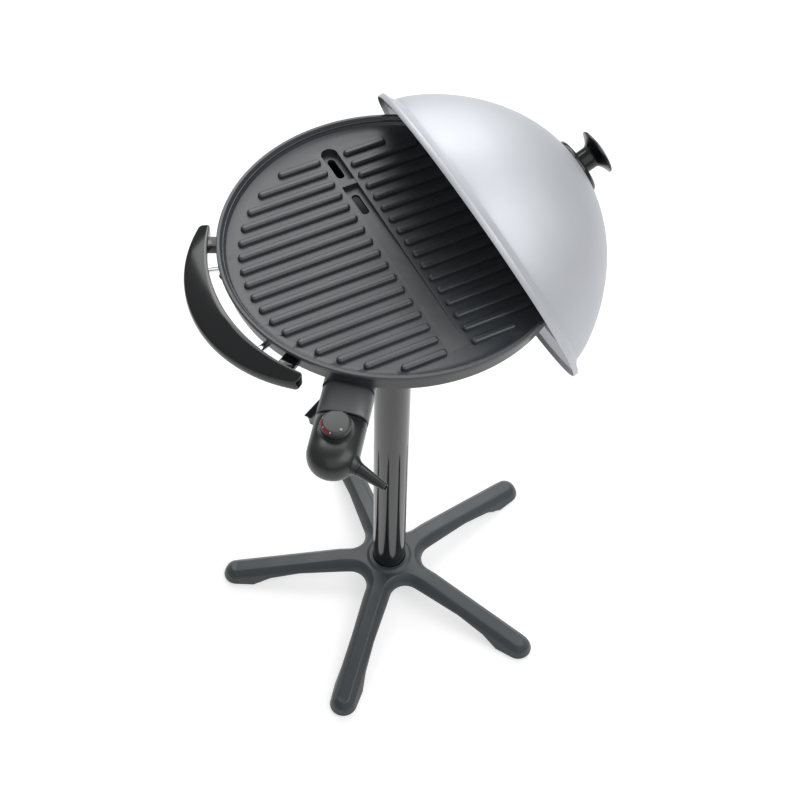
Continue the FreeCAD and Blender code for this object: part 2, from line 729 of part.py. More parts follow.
STAND_SCREW_R = (STAND_HUB_R + STAND_FLANGE_R) / 2
STAND_SCREW_TURNS = (0.0, 90.0, 180.0, 270.0)
STAND_TURNS = (STAND_TURN, 180.0 - STAND_TURN, 180.0 + STAND_TURN, 360.0 - STAND_TURN)


def stand_screw_points():
    return [on_ring(STAND_SCREW_R, a, 0) for a in STAND_SCREW_TURNS]


def make_arm():
    low = -STAND_DROP + TABLE_PAD_H
    root_r = COLUMN_R + STAND_HUB_WALL / 2
    root_top = Vec(root_r, 0, -ARM_ROOT_DROP)
    tip = Vec(ARM_TIP_R, 0, -ARM_TIP_DROP)
    waist = Vec(ARM_TIP_R - ARM_RISE_L, 0, -ARM_TIP_DROP - ARM_RISE)
    heel = Vec(ARM_FOOT_R, 0, low)
    toe = Vec(ARM_FOOT_R - ARM_FOOT_L, 0, low)
    root_low = Vec(root_r, 0, low + ARM_ROOT_LIFT)
    tip_bow = (tip + heel) * 0.5 - Vec(ARM_TIP_BOW, 0, 0)
    arch_bow = (toe + root_low) * 0.5 + Vec(0, 0, ARM_ARCH)
    edges = [line(root_top, waist), line(waist, tip), Part.Arc(tip, tip_bow, heel).toShape(), line(heel, toe),
             Part.Arc(toe, arch_bow, root_low).toShape(), line(root_low, root_top)]
    arm = Part.Face(Part.Wire(edges)).extrude(Vec(0, ARM_W, 0))
    arm.translate(Vec(0, -ARM_W / 2, 0))
    centres = [(root_top + waist) * 0.5, (waist + tip) * 0.5]
    upper = [e for e in arm.Edges for c in centres
             if math.hypot(e.CenterOfMass.x - c.x, e.CenterOfMass.z - c.z) < TINY]
    return arm.makeFillet(ARM_ROUND, upper)


def make_table_stand():
    top = -PAN_DROP
    low = -STAND_DROP + TABLE_PAD_H + ARM_ROOT_LIFT
    hub = rod(STAND_HUB_R, Vec(0, 0, low), Vec(0, 0, top))
    flange = rod(STAND_FLANGE_R, Vec(0, 0, top - STAND_FLANGE_T), Vec(0, 0, top))
    arm = make_arm()
    stand = hub.fuse([flange] + [turned(arm, a) for a in STAND_TURNS])
    bore = rod(COLUMN_R + SOCKET_GAP, Vec(0, 0, -STAND_DROP), Vec(0, 0, top - STAND_CEILING))
    holes = [rod(SCREW_R, p + Vec(0, 0, top - STAND_FLANGE_T), p + Vec(0, 0, top))
             for p in stand_screw_points()]
    return lifted(stand.cut([bore] + holes).removeSplitter())


def make_table_pads():
    length = ARM_FOOT_L - 2 * TABLE_PAD_INSET
    width = ARM_W - 2 * TABLE_PAD_INSET
    pad = stadium(length, width, TABLE_PAD_H)
    pad.translate(Vec(ARM_FOOT_R - TABLE_PAD_INSET - length, 0, -STAND_DROP))
    return lifted(Part.makeCompound([turned(pad, a) for a in STAND_TURNS]))


def make_stand_screws():
    tip = Vec(0, 0, -PAN_DROP + PAN_WALL)
    head = Vec(0, 0, -PAN_DROP - STAND_FLANGE_T)
    screws = [wood_screw(p + tip, p + head) for p in stand_screw_points()]
    return lifted(Part.makeCompound(screws))


# Handles

LUG_Z = -HANDLE_TOP_DROP - HANDLE_H / 2


def skirt_r(drop):
    share = (drop - LIP_H) / (SKIRT_DROP - LIP_H)
    return SKIRT_TOP_R + (SKIRT_BOTTOM_R - SKIRT_TOP_R) * share


def handle_screw_lines():
    lines = []
    for side in (0.0, 180.0):
        for turn in (-LUG_TURN, LUG_TURN):
            lines.append((on_ring(skirt_r(-LUG_Z), side + turn, LUG_Z), on_ring(1, side + turn, 0)))
    return lines


def make_handle():
    low = -HANDLE_TOP_DROP - HANDLE_H
    tips = [on_ring(HANDLE_END_R, a, low) for a in (-HANDLE_HALF_TURN, HANDLE_HALF_TURN)]
    roots = [on_ring(HANDLE_IN_R, a, low) for a in (-HANDLE_HALF_TURN, HANDLE_HALF_TURN)]
    edges = [Part.Arc(tips[0], Vec(HANDLE_OUT_R, 0, low), tips[1]).toShape(), line(tips[1], roots[1]),
             Part.Arc(roots[1], Vec(HANDLE_IN_R, 0, low), roots[0]).toShape(), line(roots[0], tips[0])]
    bar = Part.Face(Part.Wire(edges)).extrude(Vec(0, 0, HANDLE_H))
    upright = [e for e in bar.Edges if e.BoundBox.ZLength > HANDLE_H / 2]
    bar = bar.makeFillet(HANDLE_ROUND, upright)
    rims = [e for e in bar.Edges if e.BoundBox.ZLength < TINY]
    bar = bar.makeFillet(HANDLE_RIM_ROUND, rims)
    lug_in = SKIRT_BOTTOM_R - PAN_WALL
    lug = box(lug_in, HANDLE_IN_R + LUG_BITE, -LUG_W / 2, LUG_W / 2, LUG_Z - LUG_H / 2, LUG_Z + LUG_H / 2)
    bar = bar.fuse([turned(lug, a) for a in (-LUG_TURN, LUG_TURN)])
    bar = bar.cut(pan_body(False))
    holes = [rod(SCREW_R, p - way * PAN_WALL, p + way * SCREW_BITE) for p, way in handle_screw_lines()[:2]]
    near = HANDLE_IN_R - STUB_BITE
    far = HANDLE_IN_R + STUB_BITE
    stubs = [rod(STUB_R, on_ring(near, a, LUG_Z), on_ring(far, a, LUG_Z)) for a in (-STUB_TURN, STUB_TURN)]
    return bar.cut(holes + stubs).removeSplitter()


def make_handle_right():
    return lifted(make_handle())


def make_handle_left():
    return lifted(turned(make_handle(), 180))


def make_handle_stubs():
    near = SKIRT_BOTTOM_R - PAN_WALL
    far = HANDLE_IN_R + STUB_BITE
    stubs = [rod(STUB_R, on_ring(near, a, LUG_Z), on_ring(far, a, LUG_Z))
             for side in (0.0, 180.0) for a in (side - STUB_TURN, side + STUB_TURN)]
    return lifted(Part.makeCompound(stubs).cut(pan_body(False)))


def make_handle_screws():
    seat = skirt_r(-LUG_Z) - skirt_r(-LUG_Z + SCREW_HEAD_R) + PAN_WALL + SCREW_SEAT_GAP
    screws = [wood_screw(p + way * SCREW_BITE, p - way * seat) for p, way in handle_screw_lines()]
    return lifted(Part.makeCompound(screws))


# Socket shroud, in the thermostat's own directions: X outward, Y sideways

def rounded_block(x0, x1, half_w, z0, z1, low_round, top_round):
    block = box(x0, x1, -half_w, half_w, z0, z1)
    for z, radius in ((z0, low_round), (z1, top_round)):
        edges = [e for e in block.Edges if e.BoundBox.XLength > (x1 - x0) / 2
                 and abs(e.CenterOfMass.z - z) < TINY and abs(e.CenterOfMass.y) > half_w - TINY]
        block = block.makeFillet(radius, edges)
    return block


def shroud_tunnel(wall, start, end):
    low = -SHROUD_BOTTOM_DROP + wall
    top = -SHROUD_TOP_DROP - wall
    return rounded_block(start, end, SHROUD_HALF_W - wall, low, top,
                         SHROUD_BOTTOM_ROUND - wall, SHROUD_TOP_ROUND - wall)


EAR_S = SHROUD_IN_S + EAR_L / 2
EAR_SIDE = SHROUD_HALF_W + EAR_W / 2


def ear_screw_points():
    return [plug_point(EAR_S, w) for w in (-EAR_SIDE, EAR_SIDE)]


def make_socket_shroud():
    tunnel = shroud_tunnel(0, SHROUD_IN_S, SHROUD_OUT_S)
    wing = SHROUD_HALF_W + EAR_W
    ears = box(SHROUD_IN_S, SHROUD_IN_S + EAR_L, -wing, wing, -PAN_DROP - EAR_T, -PAN_DROP)
    shroud = tunnel.fuse(ears).cut(shroud_tunnel(SHROUD_WALL, SHROUD_IN_S, SHROUD_OUT_S))
    shroud = at_plug(shroud).cut(pan_body(False))
    holes = [rod(SCREW_R, p - Vec(0, 0, PAN_DROP + EAR_T), p - Vec(0, 0, PAN_DROP))
             for p in ear_screw_points()]
    return lifted(shroud.cut(holes).removeSplitter())


def make_shroud_screws():
    tip = Vec(0, 0, -PAN_DROP + PAN_WALL)
    head = Vec(0, 0, -PAN_DROP - EAR_T)
    screws = [wood_screw(p + tip, p + head) for p in ear_screw_points()]
    return lifted(Part.makeCompound(screws))


# Thermostat

def case_block(wall):
    half = SHROUD_HALF_W - wall
    top = -SHROUD_TOP_DROP - wall
    low = -SHROUD_BOTTOM_DROP + wall
    front = CASE_S + wall
    side = CASE_S + CASE_L - SHROUD_HALF_W
    corners = [Vec(front, -half, low), Vec(side, -half, low), Vec(side, half, low), Vec(front, half, low)]
    edges = [line(corners[0], corners[1]),
             Part.Arc(corners[1], Vec(side + half, 0, low), corners[2]).toShape(),
             line(corners[2], corners[3]), line(corners[3], corners[0])]
    block = Part.Face(Part.Wire(edges)).extrude(Vec(0, 0, top - low))
    for z, radius in ((top, SHROUD_TOP_ROUND - wall), (low, SHROUD_BOTTOM_ROUND - wall)):
        rim = [e for e in block.Edges if abs(e.CenterOfMass.z - z) < TINY and e.BoundBox.ZLength < TINY
               and e.BoundBox.XLength > TINY]
        block = block.makeFillet(radius, rim)
    return block


NOZZLE_WAY = on_ring(1, NOZZLE_TURN, 0)
NOZZLE_ROOT = Vec(CASE_S + NOZZLE_BACK, NOZZLE_SIDE, CASE_MID_Z)
NOZZLE_FACE = NOZZLE_ROOT + NOZZLE_WAY * NOZZLE_L
SWITCH_TOP = -SHROUD_TOP_DROP - CASE_WALL - SWITCH_TOP_GAP
SCREW_SEAT = -SHROUD_BOTTOM_DROP + POST_RECESS
POST_SIDE = SHROUD_HALF_W - POST_SIDE_EDGE
POSTS = [(CASE_S + POST_FRONT, -POST_SIDE), (CASE_S + POST_FRONT, POST_SIDE),
         (CASE_S + CASE_L - POST_END_EDGE, 0)]


def nose_block():
    return box(CASE_S - NOSE_L, CASE_S + CASE_WALL + NOSE_INSIDE, -NOSE_HALF_W, NOSE_HALF_W,
               -PLUG_DROP - NOSE_HALF_H, -PLUG_DROP + NOSE_HALF_H)


def case_shell():
    nozzle = rod(CORD_SLEEVE_ROOT_R + NOZZLE_WALL, NOZZLE_ROOT, NOZZLE_FACE)
    shell = case_block(0).fuse(nozzle).removeSplitter()
    shell = shell.cut(case_block(CASE_WALL)).cut(rod(CORD_SLEEVE_ROOT_R, NOZZLE_ROOT, NOZZLE_FACE))
    spindle = rod(SPINDLE_R + SPINDLE_FIT, Vec(DIAL_S, DIAL_SIDE, CASE_MID_Z), Vec(DIAL_S, DIAL_SIDE, 0))
    return shell.cut([nose_block(), spindle])


def case_half(upper):
    far = CASE_S + CASE_L + NOZZLE_L
    wide = SHROUD_HALF_W + NOZZLE_L + NOZZLE_SIDE
    z0, z1 = (CASE_MID_Z, 0) if upper else (-SHROUD_BOTTOM_DROP, CASE_MID_Z)
    return case_shell().common(box(CASE_S, far, -wide, wide, z0, z1))


def make_thermostat_upper_case():
    posts = [rod(POST_R, Vec(x, y, CASE_MID_Z), Vec(x, y, -SHROUD_TOP_DROP - CASE_WALL)) for x, y in POSTS]
    holes = [rod(SCREW_R, Vec(x, y, CASE_MID_Z), Vec(x, y, CASE_MID_Z + SCREW_BITE)) for x, y in POSTS]
    posts = Part.makeCompound(posts).common(case_block(CASE_WALL / 2))
    half = case_half(True).fuse(posts.Solids).cut(holes + [nose_block()])
    return lifted(at_plug(half.removeSplitter()))


def make_thermostat_lower_case():
    posts = [rod(POST_R, Vec(x, y, -SHROUD_BOTTOM_DROP), Vec(x, y, CASE_MID_Z)) for x, y in POSTS]
    holes = [rod(SCREW_R, Vec(x, y, SCREW_SEAT), Vec(x, y, CASE_MID_Z)) for x, y in POSTS]
    holes += [rod(SCREW_HEAD_R, Vec(x, y, -SHROUD_BOTTOM_DROP), Vec(x, y, SCREW_SEAT)) for x, y in POSTS]
    posts = Part.makeCompound(posts).common(case_block(CASE_WALL / 2))
    half = case_half(False).fuse(posts.Solids).cut(holes + [nose_block()])
    return lifted(at_plug(half.removeSplitter()))


def make_case_screws():
    screws = [wood_screw(Vec(x, y, CASE_MID_Z + SCREW_BITE), Vec(x, y, SCREW_SEAT)) for x, y in POSTS]
    return lifted(at_plug(Part.makeCompound(screws)))


CONTACT_R = PIN_R + CONTACT_GAP + CONTACT_WALL
NOSE_FRONT = CASE_S - NOSE_L
NOSE_BACK = CASE_S + CASE_WALL + NOSE_INSIDE


def make_plug_nose():
    holes = [rod(CONTACT_R, Vec(NOSE_FRONT, w, -PLUG_DROP), Vec(NOSE_BACK, w, -PLUG_DROP))
             for w in (-PIN_SPREAD, PIN_SPREAD)]
    holes.append(rod(ROD_R, Vec(NOSE_FRONT, 0, -PLUG_DROP), Vec(NOSE_BACK, 0, -PLUG_DROP)))
    return lifted(at_plug(nose_block().cut(holes)))


def make_contact_sleeves():
    sleeves = [tube(CONTACT_R, PIN_R + CONTACT_GAP, Vec(NOSE_FRONT, w, -PLUG_DROP),
                    Vec(NOSE_BACK + CONTACT_TAIL, w, -PLUG_DROP)) for w in (-PIN_SPREAD, PIN_SPREAD)]
    return lifted(at_plug(Part.makeCompound(sleeves)))


def make_sensor_rod():
    sensor = rod(ROD_R, Vec(SHROUD_OUT_S - ROD_REACH, 0, -PLUG_DROP), Vec(NOSE_BACK, 0, -PLUG_DROP))
    return lifted(at_plug(sensor))


def make_thermostat_switch():
    s0 = NOSE_BACK + CONTACT_TAIL - SWITCH_OVERLAP
    low = -SHROUD_BOTTOM_DROP + CASE_WALL
    switch = box(s0, s0 + SWITCH_L, -SWITCH_HALF_W, SWITCH_HALF_W, low, SWITCH_TOP)
    clear = [rod(CONTACT_R, Vec(s0, w, -PLUG_DROP), Vec(NOSE_BACK + CONTACT_TAIL, w, -PLUG_DROP))
             for w in (-PIN_SPREAD, PIN_SPREAD)]
    clear += [rod(POST_R, Vec(x, y, low), Vec(x, y, SWITCH_TOP)) for x, y in POSTS]
    switch = switch.common(case_block(CASE_WALL)).cut(clear)
    return lifted(at_plug(switch.removeSplitter()))


DIAL_LOW = -SHROUD_TOP_DROP + DIAL_RING_H + DIAL_GAP


def make_dial_ring():
    low = -SHROUD_TOP_DROP
    ring_r = DIAL_R + DIAL_RING_W
    seat = Vec(DIAL_S, DIAL_SIDE, low)
    ring = tube(ring_r, DIAL_RING_HOLE_R, seat, seat + Vec(0, 0, DIAL_RING_H))
    skirt_low = Vec(DIAL_S, DIAL_SIDE, low - SHROUD_TOP_ROUND)
    ring = ring.fuse(tube(ring_r, ring_r - DIAL_RING_W, skirt_low, seat))
    return lifted(at_plug(ring.cut(case_block(0)).removeSplitter()))


def make_dial():
    base = Vec(DIAL_S, DIAL_SIDE, DIAL_LOW)
    dial = rod(DIAL_R, base, base + Vec(0, 0, DIAL_H))
    dial = dial.makeFillet(DIAL_ROUND, [e for e in dial.Edges if e.BoundBox.ZMin > DIAL_LOW + DIAL_H - TINY])
    dial = dial.cut(rod(SPINDLE_R, base, base + Vec(0, 0, SPINDLE_IN_DIAL)))
    return lifted(at_plug(dial))


def make_dial_spindle():
    top = Vec(DIAL_S, DIAL_SIDE, DIAL_LOW + SPINDLE_IN_DIAL)
    spindle = rod(SPINDLE_R, Vec(DIAL_S, DIAL_SIDE, SWITCH_TOP + SOCKET_GAP), top)
    return lifted(at_plug(spindle))


def make_cord_sleeve():
    cone = Part.makeCone(CORD_SLEEVE_R, CORD_SLEEVE_END_R, CORD_SLEEVE_L, NOZZLE_FACE, NOZZLE_WAY)
    root = rod(CORD_SLEEVE_ROOT_R, NOZZLE_FACE - NOZZLE_WAY * CORD_SLEEVE_ROOT_L, NOZZLE_FACE)
    tip = NOZZLE_FACE + NOZZLE_WAY * CORD_SLEEVE_L
    hole = rod(CORD_R, tip - NOZZLE_WAY * CORD_HOLE, tip)
    return lifted(at_plug(cone.fuse(root).cut(hole).removeSplitter()))


# Drip tray and its rails

RAIL_LIP_TOP = -TRAY_TOP_DROP - TRAY_FLANGE_T - RAIL_GAP
RAIL_Y0 = TRAY_IN_Y + TRAY_ROUND
RAIL_Y1 = TRAY_OUT_Y - RAIL_FRONT_GAP


def rail_screw_points():
    x = RAIL_OUT - RAIL_FOOT / 2
    return [Vec(side * x, y, 0) for side in (-1, 1) for y in (RAIL_Y0 + RAIL_FOOT, RAIL_Y1 - RAIL_FOOT)]


def make_tray_rails():
    low = RAIL_LIP_TOP - RAIL_WALL
    web = box(RAIL_IN, RAIL_IN + RAIL_WALL, RAIL_Y0, RAIL_Y1, low, -PAN_DROP)
    lip = box(RAIL_IN - RAIL_LIP + RAIL_GAP, RAIL_IN, RAIL_Y0, RAIL_Y1, low, RAIL_LIP_TOP)
    foot = box(RAIL_IN, RAIL_OUT, RAIL_Y0, RAIL_Y1, -PAN_DROP - RAIL_WALL, -PAN_DROP)
    holes = [rod(SCREW_R, p - Vec(0, 0, PAN_DROP + RAIL_WALL), p - Vec(0, 0, PAN_DROP))
             for p in rail_screw_points() if p.x > 0]
    rail = web.fuse([lip, foot]).removeSplitter().cut(holes)
    return lifted(Part.makeCompound([rail, rail.mirror(Vec(0, 0, 0), Vec(1, 0, 0))]))


def make_rail_screws():
    tip = Vec(0, 0, -PAN_DROP + PAN_WALL)
    head = Vec(0, 0, -PAN_DROP - RAIL_WALL)
    screws = [wood_screw(p + tip, p + head) for p in rail_screw_points()]
    return lifted(Part.makeCompound(screws))


def tray_block(wall):
    block = box(-TRAY_HALF_W + wall, TRAY_HALF_W - wall, TRAY_IN_Y + wall, TRAY_OUT_Y - wall,
                -TRAY_TOP_DROP - TRAY_H + wall, -TRAY_TOP_DROP)
    upright = [e for e in block.Edges if e.BoundBox.ZLength > TRAY_H / 2]
    block = block.makeFillet(TRAY_ROUND - wall, upright)
    low = block.BoundBox.ZMin
    rim = [e for e in block.Edges if e.BoundBox.ZMax < low + TINY]
    return block.makeFillet(TRAY_BOTTOM_ROUND - wall / 2, rim)


def make_drip_tray():
    flange_low = -TRAY_TOP_DROP - TRAY_FLANGE_T
    wide = TRAY_HALF_W + TRAY_FLANGE
    flange = box(-wide, wide, TRAY_IN_Y + TRAY_ROUND, TRAY_OUT_Y, flange_low, -TRAY_TOP_DROP)
    tip = TRAY_OUT_Y + TRAY_GRIP
    grip = box(-TRAY_GRIP_HALF_W, TRAY_GRIP_HALF_W, TRAY_OUT_Y - TRAY_ROUND, tip, flange_low, -TRAY_TOP_DROP)
    curl = box(-TRAY_GRIP_HALF_W, TRAY_GRIP_HALF_W, tip - TRAY_FLANGE_T, tip,
               flange_low - TRAY_GRIP_H, flange_low)
    tray = tray_block(0).fuse([flange, grip, curl]).cut(tray_block(TRAY_WALL))
    return lifted(tray.removeSplitter())


# Lid, built upright on its own axis and then hung over the right handle

def rim_entry_x():
    # The plate's rim enters the dome at its base, LID_RIM_GAP clear of the wall.
    tilt = math.radians(LID_TILT)
    height = LID_DROP / math.cos(tilt) - LID_BASE_H * math.tan(tilt)
    room = LID_BASE_R - LID_T - LID_RIM_GAP
    entry = math.sqrt(PLATE_R ** 2 + height ** 2 - room ** 2)
    return entry - (LID_BASE_H - LID_DROP * math.sin(tilt)) / math.cos(tilt)


def dome_radius_share(rise_share):
    # The dome's outline is a superellipse with one power for the crown and one for the shoulder.
    return (1 - rise_share ** DOME_SHOULDER_POWER) ** (1 / DOME_CROWN_POWER)


def dome_rise_share(radius_share):
    return (1 - min(radius_share, 1.0) ** DOME_CROWN_POWER) ** (1 / DOME_SHOULDER_POWER)


def handle_edge():
    # Places along the handle's outer top edge, at the centre of its rounding.
    turn = math.radians(HANDLE_HALF_TURN)
    tip_x = HANDLE_END_R * math.cos(turn)
    tip_y = HANDLE_END_R * math.sin(turn)
    centre = (HANDLE_OUT_R ** 2 - HANDLE_END_R ** 2) / (2 * (HANDLE_OUT_R - tip_x))
    radius = HANDLE_OUT_R - centre - HANDLE_RIM_ROUND
    half = math.atan2(tip_y, tip_x - centre)
    angles = [half * i / EDGE_STEPS for i in range(EDGE_STEPS)]
    return [(centre + radius * math.cos(a), radius * math.sin(a)) for a in angles]


def crown_gap(lid_x):
    # The least room between that edge and the inside of the dome's crown, along the lid's axis.
    tilt = math.radians(LID_TILT)
    up = LID_DROP - HANDLE_TOP_DROP - HANDLE_RIM_ROUND
    gaps = []
    for x, y in handle_edge():
        out = x - lid_x
        along = out * math.cos(tilt) + up * math.sin(tilt) + HANDLE_RIM_ROUND
        across = math.hypot(y, up * math.cos(tilt) - out * math.sin(tilt))
        share = dome_rise_share(across / (LID_BASE_R - LID_T))
        gaps.append(LID_BASE_H + (LID_H - LID_T - LID_BASE_H) * share - along)
    return min(gaps)


def parked_x():
    # As far in as the plate's rim allows, or further out where the crown would meet the handle.
    low = rim_entry_x()
    if crown_gap(low) > LID_REST_GAP:
        return low
    high = low + LID_H
    while high - low > TINY:
        middle = (low + high) / 2
        if crown_gap(middle) < LID_REST_GAP:
            low = middle
        else:
            high = middle
    return high


LID_X = parked_x()
print("lid parked at x", round(LID_X, 2))


def parked(shape):
    copy = shape.copy()
    copy.rotate(Vec(0, 0, 0), Vec(0, 1, 0), 90 - LID_TILT)
    copy.translate(Vec(LID_X, 0, RIM_Z - LID_DROP))
    return copy


def dome_curve(shrink):
    rise = LID_H - LID_BASE_H - shrink
    base = LID_BASE_R - shrink
    points = [Vec(base, 0, LID_BASE_H)]
    points += [Vec(base * dome_radius_share(h), 0, LID_BASE_H + rise * h) for h in DOME_STATIONS]
    points.append(Vec(0, 0, LID_H - shrink))
    curve = Part.BSplineCurve()
    curve.interpolate(points, InitialTangent=Vec(0, 0, 1), FinalTangent=Vec(-1, 0, 0))
    return curve.toShape()


def dome_filled():
    bottom = Vec(LID_BASE_R, 0, LID_BASE_H)
    axis_low = Vec(0, 0, LID_BASE_H)
    return spun([dome_curve(0), line(Vec(0, 0, LID_H), axis_low), line(axis_low, bottom)])


def make_lid_dome():
    out_low = Vec(LID_R, 0, 0)
    out_top = Vec(LID_R, 0, LID_LIP_H)
    in_low = Vec(LID_R - LID_T, 0, 0)
    in_top = Vec(LID_R - LID_T, 0, LID_LIP_H - LID_T)
    step_out = Vec(LID_R - LID_LIP_W, 0, LID_LIP_H)
    step_in = Vec(LID_R - LID_LIP_W, 0, LID_LIP_H - LID_T)
    base_out = Vec(LID_BASE_R, 0, LID_BASE_H)
    base_in = Vec(LID_BASE_R - LID_T, 0, LID_BASE_H)
    apex_out = Vec(0, 0, LID_H)
    apex_in = Vec(0, 0, LID_H - LID_T)
    edges = [line(in_low, out_low), line(out_low, out_top), line(out_top, step_out), line(step_out, base_out),
             dome_curve(0), line(apex_out, apex_in), dome_curve(LID_T), line(base_in, step_in),
             line(step_in, in_top), line(in_top, in_low)]
    dome = spun(Part.__sortEdges__(edges))
    return parked(dome.cut(rod(KNOB_SCREW_R, Vec(0, 0, LID_BASE_H), Vec(0, 0, LID_H + LID_T))))


SHIELD_TOP = LID_H + SHIELD_T


def make_knob_shield():
    disc = spun(profile([(0, LID_BASE_H), (SHIELD_R, LID_BASE_H), (SHIELD_R, LID_H - SHIELD_T / 2),
                         (SHIELD_R - SHIELD_T, LID_H + SHIELD_T / 2), (KNOB_STEM_R, SHIELD_TOP),
                         (0, SHIELD_TOP)]))
    disc = disc.cut(dome_filled())
    return parked(disc.cut(rod(KNOB_SCREW_R, Vec(0, 0, LID_BASE_H), Vec(0, 0, SHIELD_TOP + SHIELD_T))))


def make_lid_knob():
    neck = SHIELD_TOP + KNOB_STEM_H
    brim = neck + KNOB_FLARE_H
    crown = brim + KNOB_BRIM_H
    top = crown + KNOB_CROWN_H
    flare_bow = Vec((KNOB_STEM_R + KNOB_R) / 2 - KNOB_FLARE_BOW_IN, 0, brim - KNOB_FLARE_BOW_DROP)
    crown_r = (KNOB_R ** 2 + KNOB_CROWN_H ** 2) / (2 * KNOB_CROWN_H)
    crown_bow = Vec(KNOB_R / 2, 0, top - crown_r + math.sqrt(crown_r ** 2 - KNOB_R ** 2 / 4))
    edges = [line(Vec(0, 0, SHIELD_TOP), Vec(KNOB_STEM_R, 0, SHIELD_TOP)),
             line(Vec(KNOB_STEM_R, 0, SHIELD_TOP), Vec(KNOB_STEM_R, 0, neck)),
             Part.Arc(Vec(KNOB_STEM_R, 0, neck), flare_bow, Vec(KNOB_R, 0, brim)).toShape(),
             line(Vec(KNOB_R, 0, brim), Vec(KNOB_R, 0, crown)),
             Part.Arc(Vec(KNOB_R, 0, crown), crown_bow, Vec(0, 0, top)).toShape(),
             line(Vec(0, 0, top), Vec(0, 0, SHIELD_TOP))]
    knob = spun(edges)
    return parked(knob.cut(rod(KNOB_SCREW_R, Vec(0, 0, SHIELD_TOP), Vec(0, 0, SHIELD_TOP + KNOB_SCREW_BITE))))


WASHER_SEAT = LID_H - LID_T


def make_knob_washer():
    disc = tube(KNOB_WASHER_R, KNOB_SCREW_R, Vec(0, 0, WASHER_SEAT - KNOB_WASHER_T), Vec(0, 0, WASHER_SEAT))
    return parked(disc.cut(lid_wall()))


def lid_wall():
    bottom = Vec(LID_BASE_R - LID_T, 0, LID_BASE_H)
    axis_low = Vec(0, 0, LID_BASE_H)
    inside = spun([dome_curve(LID_T), line(Vec(0, 0, WASHER_SEAT), axis_low), line(axis_low, bottom)])
    return dome_filled().cut(inside)


def make_knob_screw():
    seat = Vec(0, 0, WASHER_SEAT - KNOB_WASHER_T)
    head = rod(KNOB_SCREW_HEAD_R, seat - Vec(0, 0, KNOB_SCREW_HEAD_H), seat)
    shank = rod(KNOB_SCREW_R, seat, Vec(0, 0, SHIELD_TOP + KNOB_SCREW_BITE))
    return parked(head.fuse(shank).removeSplitter())


PIECES = {
    "star_base": make_star_base,
    "foot_pads": make_foot_pads,
    "column_tube": make_column_tube,
    "column_cap": make_column_cap,
    "column_insert": make_column_insert,
    "hub_washer": make_hub_washer,
    "hub_bolt": make_hub_bolt,
    "grill_plate": make_grill_plate,
    "heating_element": make_heating_element,
    "element_clips": make_element_clips,
    "terminal_pins": make_terminal_pins,
    "base_pan": make_base_pan,
    "heat_reflector": make_heat_reflector,
    "pan_screws": make_pan_screws,
    "table_stand": make_table_stand,
    "table_pads": make_table_pads,
    "stand_screws": make_stand_screws,
    "handle_left": make_handle_left,
    "handle_right": make_handle_right,
    "handle_stubs": make_handle_stubs,
    "handle_screws": make_handle_screws,
    "socket_shroud": make_socket_shroud,
    "shroud_screws": make_shroud_screws,
    "thermostat_upper_case": make_thermostat_upper_case,
    "thermostat_lower_case": make_thermostat_lower_case,
    "case_screws": make_case_screws,
    "plug_nose": make_plug_nose,
    "contact_sleeves": make_contact_sleeves,
    "sensor_rod": make_sensor_rod,
    "thermostat_switch": make_thermostat_switch,
    "dial_ring": make_dial_ring,
    "dial": make_dial,
    "dial_spindle": make_dial_spindle,
    "cord_sleeve": make_cord_sleeve,
    "tray_rails": make_tray_rails,
    "rail_screws": make_rail_screws,
    "drip_tray": make_drip_tray,
    "lid_dome": make_lid_dome,
    "knob_shield": make_knob_shield,
    "lid_knob": make_lid_knob,
    "knob_washer": make_knob_washer,
    "knob_screw": make_knob_screw,
}

os.makedirs("parts", exist_ok=True)
for piece, make in PIECES.items():
    save(piece, make())
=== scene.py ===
import json
import math

import bmesh
import bpy
from mathutils import Matrix, Vector


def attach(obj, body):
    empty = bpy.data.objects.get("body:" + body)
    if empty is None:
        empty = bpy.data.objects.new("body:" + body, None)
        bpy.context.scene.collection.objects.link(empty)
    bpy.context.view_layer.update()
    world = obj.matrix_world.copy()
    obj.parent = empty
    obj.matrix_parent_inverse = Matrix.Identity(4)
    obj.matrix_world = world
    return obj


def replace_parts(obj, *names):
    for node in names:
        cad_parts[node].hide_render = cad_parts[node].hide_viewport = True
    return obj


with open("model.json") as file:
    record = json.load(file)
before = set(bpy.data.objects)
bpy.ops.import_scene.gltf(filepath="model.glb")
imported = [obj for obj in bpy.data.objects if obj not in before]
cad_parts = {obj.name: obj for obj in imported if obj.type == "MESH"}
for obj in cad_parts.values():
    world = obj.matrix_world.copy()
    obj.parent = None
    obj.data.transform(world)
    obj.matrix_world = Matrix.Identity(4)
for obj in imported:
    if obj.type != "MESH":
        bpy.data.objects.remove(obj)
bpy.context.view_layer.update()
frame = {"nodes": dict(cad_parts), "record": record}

nodes = frame["nodes"]
scene = bpy.context.scene
mm = 0.001
rimHeight = 770.0  # top of the plate, in mm above the floor


# node tools

def addNode(tree, kind, **values):
    node = tree.nodes.new(kind)
    for key, value in values.items():
        setattr(node, key, value)
    return node


def setInputs(node, values):
    for label, value in values.items():
        node.inputs[label].default_value = value


def wire(tree, source, target):
    tree.links.new(source, target)


# camera, light and floor

photoCamera = {"place": (-0.5736, -1.0350, 2.0438), "ahead": (0.2938, 0.5193, -0.8025), "roll": 0.027,
               "lens": 66.89, "sensor": 36.0, "clipStart": 0.05}


